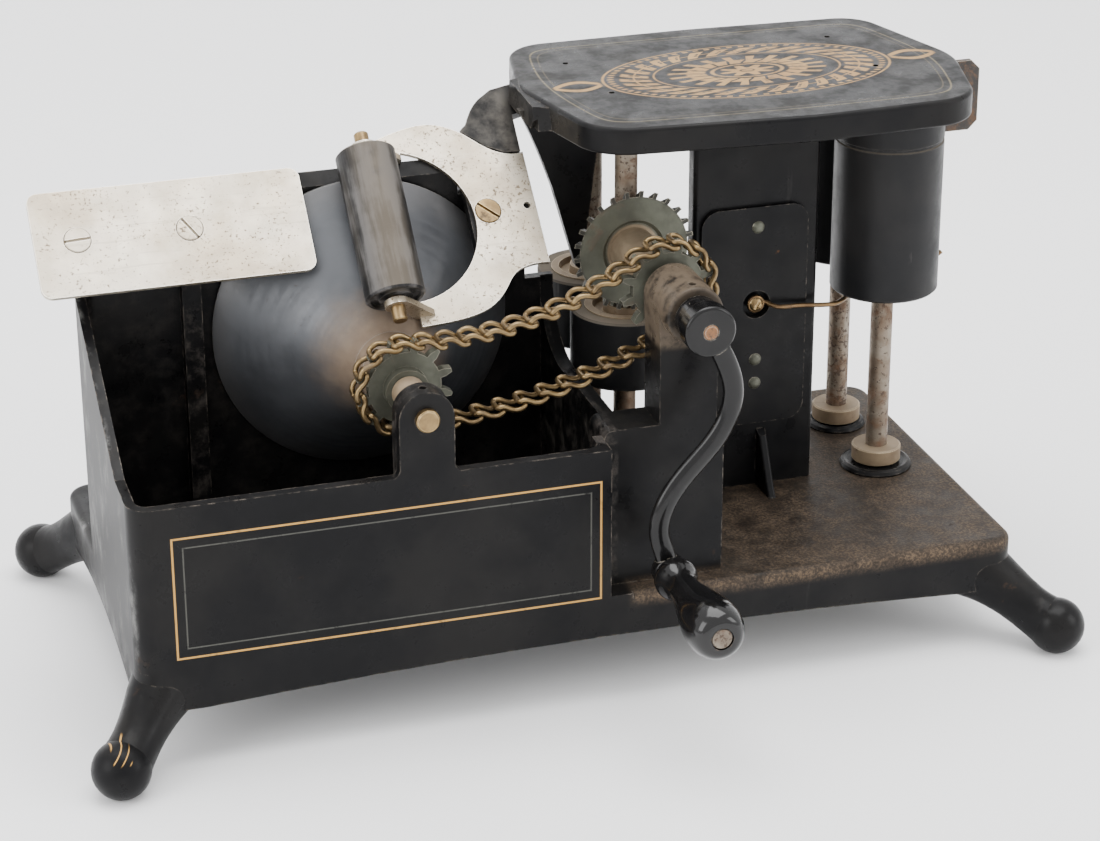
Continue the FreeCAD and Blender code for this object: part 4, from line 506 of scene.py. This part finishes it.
nickel = {
    "base": (0.62, 0.56, 0.46, 1), "shade": (0.44, 0.37, 0.275, 1), "rough": (0.3, 0.46),
    "cloud": 22.0, "metal": 0.85, "orange": 120.0, "bump": 0.12,
    "streak": {"stretch": (26.0, 500.0, 500.0), "level": 0.62, "amount": 0.3,
               "colour": (0.36, 0.31, 0.25, 1), "depth": -0.2},
    "fleck": {"grain": 780.0, "level": 0.615, "amount": 0.8, "colour": (0.12, 0.075, 0.04, 1)},
    "rust": {"grain": 30.0, "level": 0.66, "soft": 0.10, "amount": 0.35, "colour": (0.25, 0.17, 0.10, 1),
             "dark": (0.15, 0.09, 0.05, 1)},
    "wear": {"width": 0.0006, "amount": 0.7, "colour": (0.75, 0.72, 0.66, 1), "rough": 0.25, "metal": 0.95},
}
dress(makeFinish("nickelPlate", nickel), "left_deck_plate", "deck_screws")
crescentFleck = {"grain": 700.0, "level": 0.58, "amount": 0.85, "colour": (0.13, 0.085, 0.045, 1)}
dress(makeFinish("nickelCrescent", dict(nickel, fleck=crescentFleck)), "crescent_plate")

# disc: satin grey, brown round the hub

discGrey = {
    "base": (0.078, 0.082, 0.090, 1), "shade": (0.048, 0.05, 0.055, 1), "rough": (0.32, 0.5), "cloud": 18.0,
    "metal": 0.35, "orange": 160.0, "bump": 0.1,
    "hub": ((0.10, 0.065, 0.042, 1), (0.21, 0.155, 0.105, 1)), "hubEdge": (0.041, 0.022),
    "lime": (0.12, 0.11, 0.10, 1), "limeEdge": (0.060, 0.070),
    "fleck": {"grain": 420.0, "level": 0.69, "amount": 0.5, "colour": (0.06, 0.045, 0.035, 1)},
    "wear": {"width": 0.0006, "amount": 0.6, "colour": (0.25, 0.24, 0.22, 1), "rough": 0.35, "metal": 0.7},
}
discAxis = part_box("moistening_disc")


def discMarks(parts):
    tree, where = parts["tree"], parts["where"]
    r = fromAxis(tree, where, discAxis)
    ragged = calc(tree, "MULTIPLY_ADD", noise(tree, where, 60.0, 6.0, 0.65), 0.016, r)
    brown = ramp(tree, ragged, *discGrey["hubEdge"])
    tint = blendColour(tree, noise(tree, where, 180.0, 5.0), *discGrey["hub"])
    parts["colour"] = blendColour(tree, brown, parts["colour"], tint)
    parts["rough"] = blendValue(tree, brown, parts["rough"], 0.68)
    parts["metal"] = blendValue(tree, brown, parts["metal"], 0.05)
    rings = ramp(tree, noise(tree, r, 260.0, 3.0), 0.42, 0.62)
    parts["rough"] = calc(tree, "MULTIPLY_ADD", rings, 0.08, parts["rough"])
    # lime stain where the water stood
    wet = ramp(tree, ragged, *discGrey["limeEdge"])
    wet = calc(tree, "MULTIPLY", wet, 0.25)
    parts["colour"] = blendColour(tree, wet, parts["colour"], discGrey["lime"])


dress(makeFinish("discGrey", discGrey, discMarks), "moistening_disc")

# brass, bronze, iron, steel

brass = {
    "base": (0.30, 0.205, 0.095, 1), "shade": (0.15, 0.098, 0.048, 1), "rough": (0.28, 0.48),
    "cloud": 120.0, "metal": 0.9, "orange": 500.0, "bump": 0.15,
    "rust": {"grain": 150.0, "level": 0.56, "soft": 0.12, "amount": 0.6, "colour": (0.085, 0.055, 0.03, 1),
             "dark": (0.05, 0.035, 0.022, 1)},
    "wear": {"width": 0.0007, "amount": 0.55, "colour": (0.5, 0.38, 0.2, 1), "rough": 0.28, "metal": 1.0},
}
dress(makeFinish("oldBrass", brass), "disc_shaft", "press_roller_pin", "crescent_screw", "guide_wire_screw")
wireBrass = dict(brass, base=(0.20, 0.125, 0.06, 1), shade=(0.11, 0.065, 0.035, 1))
dress(makeFinish("wireBrass", wireBrass), "guide_wire")

bronze = {
    "base": (0.25, 0.185, 0.115, 1), "shade": (0.17, 0.12, 0.075, 1), "rough": (0.5, 0.72),
    "cloud": 60.0, "metal": 0.35, "orange": 380.0, "bump": 0.25,
    "rust": {"grain": 90.0, "level": 0.58, "soft": 0.08, "amount": 0.7, "colour": (0.09, 0.055, 0.032, 1),
             "dark": (0.05, 0.033, 0.022, 1)},
    "dust": {"grain": 90.0, "amount": 0.6, "cover": 0.5, "colour": (0.24, 0.19, 0.13, 1)},
    "wear": {"width": 0.0007, "amount": 0.5, "colour": (0.42, 0.34, 0.22, 1), "rough": 0.4, "metal": 0.8},
}
dress(makeFinish("dullBronze", bronze), "disc_shaft_sleeve", "front_left_spool", "rear_left_spool",
      *[name + "_collar" for name in rollNames])

iron = {
    "base": (0.105, 0.108, 0.082, 1), "shade": (0.066, 0.066, 0.05, 1), "rough": (0.42, 0.66),
    "cloud": 70.0, "metal": 0.55, "orange": 420.0, "bump": 0.25,
    "rust": {"grain": 80.0, "level": 0.58, "soft": 0.1, "amount": 0.6, "colour": (0.11, 0.06, 0.03, 1),
             "dark": (0.05, 0.035, 0.024, 1)},
    "wear": {"width": 0.0006, "amount": 0.45, "colour": (0.27, 0.25, 0.2, 1), "rough": 0.4, "metal": 0.9},
}
gear = {"hub": ((0.34, 0.27, 0.185, 1), (0.17, 0.12, 0.075, 1)), "hubEdge": (0.0118, 0.0108),
        "toothRoot": (0.0235, 0.0250), "grease": (0.022, 0.02, 0.018, 1)}


# bare beige-brown hub, grey-green disc and greasy black teeth
def hubMarks(parts):
    tree, where = parts["tree"], parts["where"]
    r = fromAxis(tree, where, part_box("bevel_gear"))
    patchy = noise(tree, where, 110.0, 6.0, 0.6)
    hub = blendColour(tree, patchy, *gear["hub"])
    parts["colour"] = blendColour(tree, ramp(tree, r, *gear["hubEdge"]), parts["colour"], hub)
    teeth = ramp(tree, calc(tree, "MULTIPLY_ADD", patchy, 0.002, r), *gear["toothRoot"])
    teeth = calc(tree, "MULTIPLY", teeth, 0.8)
    parts["colour"] = blendColour(tree, teeth, parts["colour"], gear["grease"])


dress(makeFinish("gearIron", iron, hubMarks), "bevel_gear")
dress(makeFinish("plainIron", iron), "disc_sprocket", "crank_sprocket", "bevel_pinion", "idler_gear",
      "cover_screws", *[name + "_gear" for name in rollNames])

steel = {
    "base": (0.16, 0.115, 0.08, 1), "shade": (0.25, 0.215, 0.17, 1), "rough": (0.4, 0.6),
    "cloud": 90.0, "metal": 0.7, "orange": 500.0, "bump": 0.35,
    "fleck": {"grain": 520.0, "level": 0.56, "amount": 0.9, "colour": (0.055, 0.032, 0.02, 1)},
    "rust": {"grain": 110.0, "level": 0.5, "soft": 0.14, "amount": 0.75, "colour": (0.16, 0.075, 0.032, 1),
             "dark": (0.075, 0.04, 0.022, 1)},
    "wear": {"width": 0.0006, "amount": 0.5, "colour": (0.4, 0.36, 0.3, 1), "rough": 0.35, "metal": 0.95},
}
dress(makeFinish("pittedSteel", steel), "gear_hub_screws", "idler_stud",
      *[name + "_shaft" for name in rollNames])
rustySteel = dict(steel, base=(0.28, 0.12, 0.04, 1), shade=(0.16, 0.075, 0.035, 1), metal=0.35)
dress(makeFinish("rustySteel", rustySteel), "crank_shaft")
darkSteel = dict(steel, base=(0.02, 0.018, 0.016, 1), shade=(0.035, 0.03, 0.026, 1), metal=0.3)
dress(makeFinish("darkSteel", darkSteel), "exit_guide")
print("metals dressed")

# rubber

rubber = {
    "base": (0.0075, 0.0077, 0.0085, 1), "shade": (0.0125, 0.012, 0.012, 1), "rough": (0.36, 0.52),
    "cloud": 30.0, "orange": 300.0, "bump": 0.16, "specular": 0.18, "worn": (0.115, 0.11, 0.108, 1),
    "streak": {"stretch": (90.0, 90.0, 14.0), "level": 0.67, "amount": 0.5,
               "colour": (0.055, 0.052, 0.05, 1), "depth": -0.4},
    "dust": {"grain": 60.0, "amount": 0.75, "cover": 0.85, "colour": (0.15, 0.125, 0.095, 1)},
    "wear": {"width": 0.0009, "amount": 0.35, "colour": (0.07, 0.065, 0.06, 1), "rough": 0.6, "metal": 0.0},
}


# grey wear in long soft streaks down the press roller
def pressMarks(parts):
    tree, where = parts["tree"], parts["where"]
    level = put(tree, "VectorRotate", rotation_type="X_AXIS")
    feed(tree, level.inputs["Vector"], where)
    level.inputs["Angle"].default_value = math.radians(-45)
    long = noise(tree, stretched(tree, level.outputs[0], (150.0, 14.0, 150.0)), 1.0, 5.0, 0.6)
    patch = noise(tree, where, 40.0, 5.0, 0.6)
    worn = ramp(tree, calc(tree, "MULTIPLY_ADD", patch, 0.5, long), 0.66, 0.88)
    parts["colour"] = blendColour(tree, calc(tree, "MULTIPLY", worn, 0.8), parts["colour"], rubber["worn"])
    parts["rough"] = blendValue(tree, worn, parts["rough"], 0.5)


dress(makeFinish("rollRubber", rubber), *[name + "_roller" for name in rollNames])
dress(makeFinish("pressRubber", rubber, pressMarks), "press_roller")

# crank arm and knob

crankBlack = {
    "base": (0.0035, 0.0035, 0.0038, 1), "shade": (0.0065, 0.006, 0.006, 1), "rough": (0.13, 0.26),
    "cloud": 50.0, "coat": 0.2, "specular": 0.18, "coatRough": 0.12, "orange": 260.0, "bump": 0.12,
    "fleck": {"grain": 320.0, "level": 0.70, "amount": 0.8, "colour": (0.16, 0.14, 0.11, 1)},
    "wear": {"width": 0.0007, "amount": 0.34, "colour": (0.34, 0.31, 0.26, 1), "rough": 0.35, "metal": 0.85},
}
dress(makeFinish("crankBlack", crankBlack), "crank_arm")
knobBlack = {
    "base": (0.0035, 0.0035, 0.0038, 1), "shade": (0.006, 0.0055, 0.0055, 1), "rough": (0.12, 0.24),
    "cloud": 45.0, "coat": 0.4, "specular": 0.2, "coatRough": 0.08, "orange": 150.0, "bump": 0.08,
    "streak": {"stretch": (260.0, 30.0, 260.0), "level": 0.70, "amount": 0.5,
               "colour": (0.05, 0.035, 0.025, 1), "depth": -0.5},
    "wear": {"width": 0.0010, "amount": 0.22, "colour": (0.09, 0.06, 0.04, 1), "rough": 0.45, "metal": 0.0},
}
dress(makeFinish("knobBlack", knobBlack), "crank_knob")
rivetSteel = dict(steel, base=(0.14, 0.11, 0.085, 1), shade=(0.22, 0.19, 0.15, 1))
dress(makeFinish("rivetSteel", rivetSteel), "knob_spindle")
print("rubber, crank and knob dressed")

# chain: one bent wire loop per link, in place of the plain links

chain = {"wire": 0.00112, "pitch": 0.009525, "teeth": 12, "upperSag": 0.0095, "lowerSag": 0.0075,
         "halfWidth": 0.0040, "plane": -0.027, "samples": 60, "settle": 8, "round": 3}


def axisOf(name):
    low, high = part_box(name)
    return Vector(((low[0] + high[0]) / 2, chain["plane"], (low[2] + high[2]) / 2))


# a loop round both sprockets; a run that sags inwards leaves its sprocket late,
# and one that sags outwards leaves early
def chainLoop():
    near, far = axisOf("disc_sprocket"), axisOf("crank_sprocket")
    line = (far - near).normalized()
    up = Vector((-line.z, 0, line.x))
    span = (far - near).length
    radius = chain["pitch"] / 2 / math.sin(math.pi / chain["teeth"])
    lean = {}
    for name, side in (("upperSag", 1), ("lowerSag", -1)):
        angle = 0.0
        for _ in range(chain["settle"]):
            angle = math.atan(4 * chain[name] / (span - side * 2 * radius * math.sin(angle)))
        lean[name] = angle
    over, under, points = lean["upperSag"], lean["lowerSag"], []

    def run(start, end, sag):
        for k in range(chain["samples"]):
            t = k / chain["samples"]
            points.append(start.lerp(end, t) - up * (4 * sag * t * (1 - t)))

    def rim(centre, angle):
        return centre + (up * math.cos(angle) + line * math.sin(angle)) * radius

    def wrap(centre, first, last):
        for k in range(chain["samples"]):
            points.append(rim(centre, first + (last - first) * k / chain["samples"]))

    run(rim(near, over), rim(far, -over), chain["upperSag"])
    wrap(far, -over, math.pi - under)
    run(rim(far, math.pi - under), rim(near, math.pi + under), chain["lowerSag"])
    wrap(near, math.pi + under, 2 * math.pi + over)
    return points


# place and heading of every link, evenly spaced along the loop
def chainStations():
    points = chainLoop()
    steps = [(points[(k + 1) % len(points)] - points[k]).length for k in range(len(points))]
    count = round(sum(steps) / chain["pitch"])
    gap = sum(steps) / count
    places, walked, k = [], 0.0, 0
    for number in range(count):
        while walked + steps[k] < number * gap:
            walked += steps[k]
            k += 1
        share = (number * gap - walked) / steps[k]
        places.append(points[k].lerp(points[(k + 1) % len(points)], share))
    return [(spot, (places[(k + 1) % count] - places[k - 1]).normalized()) for k, spot in enumerate(places)]


# side of a link: an arch over the last cross bar, then a dip under the next one
def linkRoute():
    side = chain["halfWidth"]
    half = [(-0.0063, side - 0.0014, 0.0004), (-0.0057, side, 0.0007), (-0.0036, side, 0.0017),
            (-0.0012, side, 0.0015), (0.0010, side, 0.0001), (0.0026, side, -0.0013), (0.0042, side, -0.0017),
            (0.0054, side - 0.0002, -0.0016), (0.0059, side - 0.0014, -0.0015)]
    return half + [(x, -y, z) for x, y, z in reversed(half)]


def chainLinks(material):
    route = linkRoute()
    data = bpy.data.curves.new("chainWire", "CURVE")
    data.dimensions = "3D"
    data.bevel_depth = chain["wire"]
    data.bevel_resolution = chain["round"]
    data.resolution_u = chain["round"]
    for spot, heading in chainStations():
        up = Vector((-heading.z, 0, heading.x))
        across = up.cross(heading)
        spline = data.splines.new("NURBS")
        spline.points.add(len(route) - 1)
        for point, (x, y, z) in zip(spline.points, route):
            point.co = (*(spot + heading * x + across * y + up * z), 1)
        spline.use_cyclic_u = True
        spline.order_u = 3
    links = bpy.data.objects.new("drive_chain_links", data)
    bpy.context.scene.collection.objects.link(links)
    links.data.materials.append(material)
    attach(links, "frame")
    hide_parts("drive_chain")


chainLinks(makeFinish("chainBrass", dict(brass, base=(0.26, 0.18, 0.085, 1), shade=(0.13, 0.088, 0.045, 1))))
print("chain made")

# floor, light and camera

floor = {"reach": 3.0, "back": 1.0, "rise": 2.2, "bend": 0.7, "steps": 16, "colour": (0.9, 0.9, 0.905, 1),
         "rough": 0.62, "specular": 0.2}


def makeFloor():
    mesh = bpy.data.meshes.new("floorSheet")
    reach, back, bend, steps = floor["reach"], floor["back"], floor["bend"], floor["steps"]
    profile = [(-reach, 0.0), (back, 0.0)]
    for k in range(1, steps + 1):
        angle = math.pi / 2 * k / steps
        profile.append((back + bend * math.sin(angle), bend - bend * math.cos(angle)))
    profile.append((back + bend, floor["rise"]))
    points, faces = [], []
    for y, z in profile:
        points += [(-reach, y, z), (reach, y, z)]
    for k in range(len(profile) - 1):
        faces.append((2 * k, 2 * k + 1, 2 * k + 3, 2 * k + 2))
    mesh.from_pydata(points, [], faces)
    mesh.polygons.foreach_set("use_smooth", [True] * len(faces))
    sheet = bpy.data.objects.new("studioFloor", mesh)
    bpy.context.scene.collection.objects.link(sheet)
    paper = bpy.data.materials.new("studioPaper")
    paper.use_nodes = True
    shader = paper.node_tree.nodes["Principled BSDF"]
    shader.inputs["Base Color"].default_value = floor["colour"]
    shader.inputs["Roughness"].default_value = floor["rough"]
    shader.inputs["Specular IOR Level"].default_value = floor["specular"]
    mesh.materials.append(paper)


def softbox(name, spot, aim, size, power):
    light = bpy.data.lights.new(name, "AREA")
    light.shape = "RECTANGLE"
    light.size, light.size_y = size
    light.energy = power
    lamp = bpy.data.objects.new(name, light)
    lamp.location = spot
    lamp.rotation_euler = (Vector(aim) - Vector(spot)).to_track_quat("-Z", "Y").to_euler()
    bpy.context.scene.collection.objects.link(lamp)


lights = {
    "overhead": {"spot": (0.1, 0.1, 1.9), "aim": (0, 0, 0.1), "size": (1.8, 1.4), "power": 50.0},
    "left": {"spot": (-1.7, -0.5, 0.9), "aim": (0, 0, 0.12), "size": (1.0, 1.2), "power": 21.0},
    "right": {"spot": (1.5, -1.0, 0.9), "aim": (0, 0, 0.12), "size": (0.8, 1.0), "power": 12.0},
}
skyStrength = 1.55
camera = {"spot": (-0.3493, -1.1237, 0.6240), "yaw": 17.21, "pitch": 23.97, "roll": -0.178, "lens": 101.1,
          "sensor": 36.0, "clip": 0.05}


def makeStage():
    makeFloor()
    for name, light in lights.items():
        softbox(name, light["spot"], light["aim"], light["size"], light["power"])
    world = bpy.context.scene.world or bpy.data.worlds.new("studioAir")
    bpy.context.scene.world = world
    world.use_nodes = True
    sky = world.node_tree.nodes["Background"]
    sky.inputs["Color"].default_value = (1.0, 1.0, 1.0, 1)
    sky.inputs["Strength"].default_value = skyStrength
    view = bpy.data.cameras.new("camera")
    view.lens, view.sensor_width = camera["lens"], camera["sensor"]
    view.clip_start = camera["clip"]
    eye = bpy.data.objects.new("camera", view)
    turn = Matrix.Rotation(math.radians(-camera["yaw"]), 4, "Z")
    turn = turn @ Matrix.Rotation(math.radians(90 - camera["pitch"]), 4, "X")
    turn = turn @ Matrix.Rotation(math.radians(camera["roll"]), 4, "Z")
    eye.matrix_world = Matrix.Translation(camera["spot"]) @ turn
    bpy.context.scene.collection.objects.link(eye)
    bpy.context.scene.camera = eye


makeStage()
print("stage set")
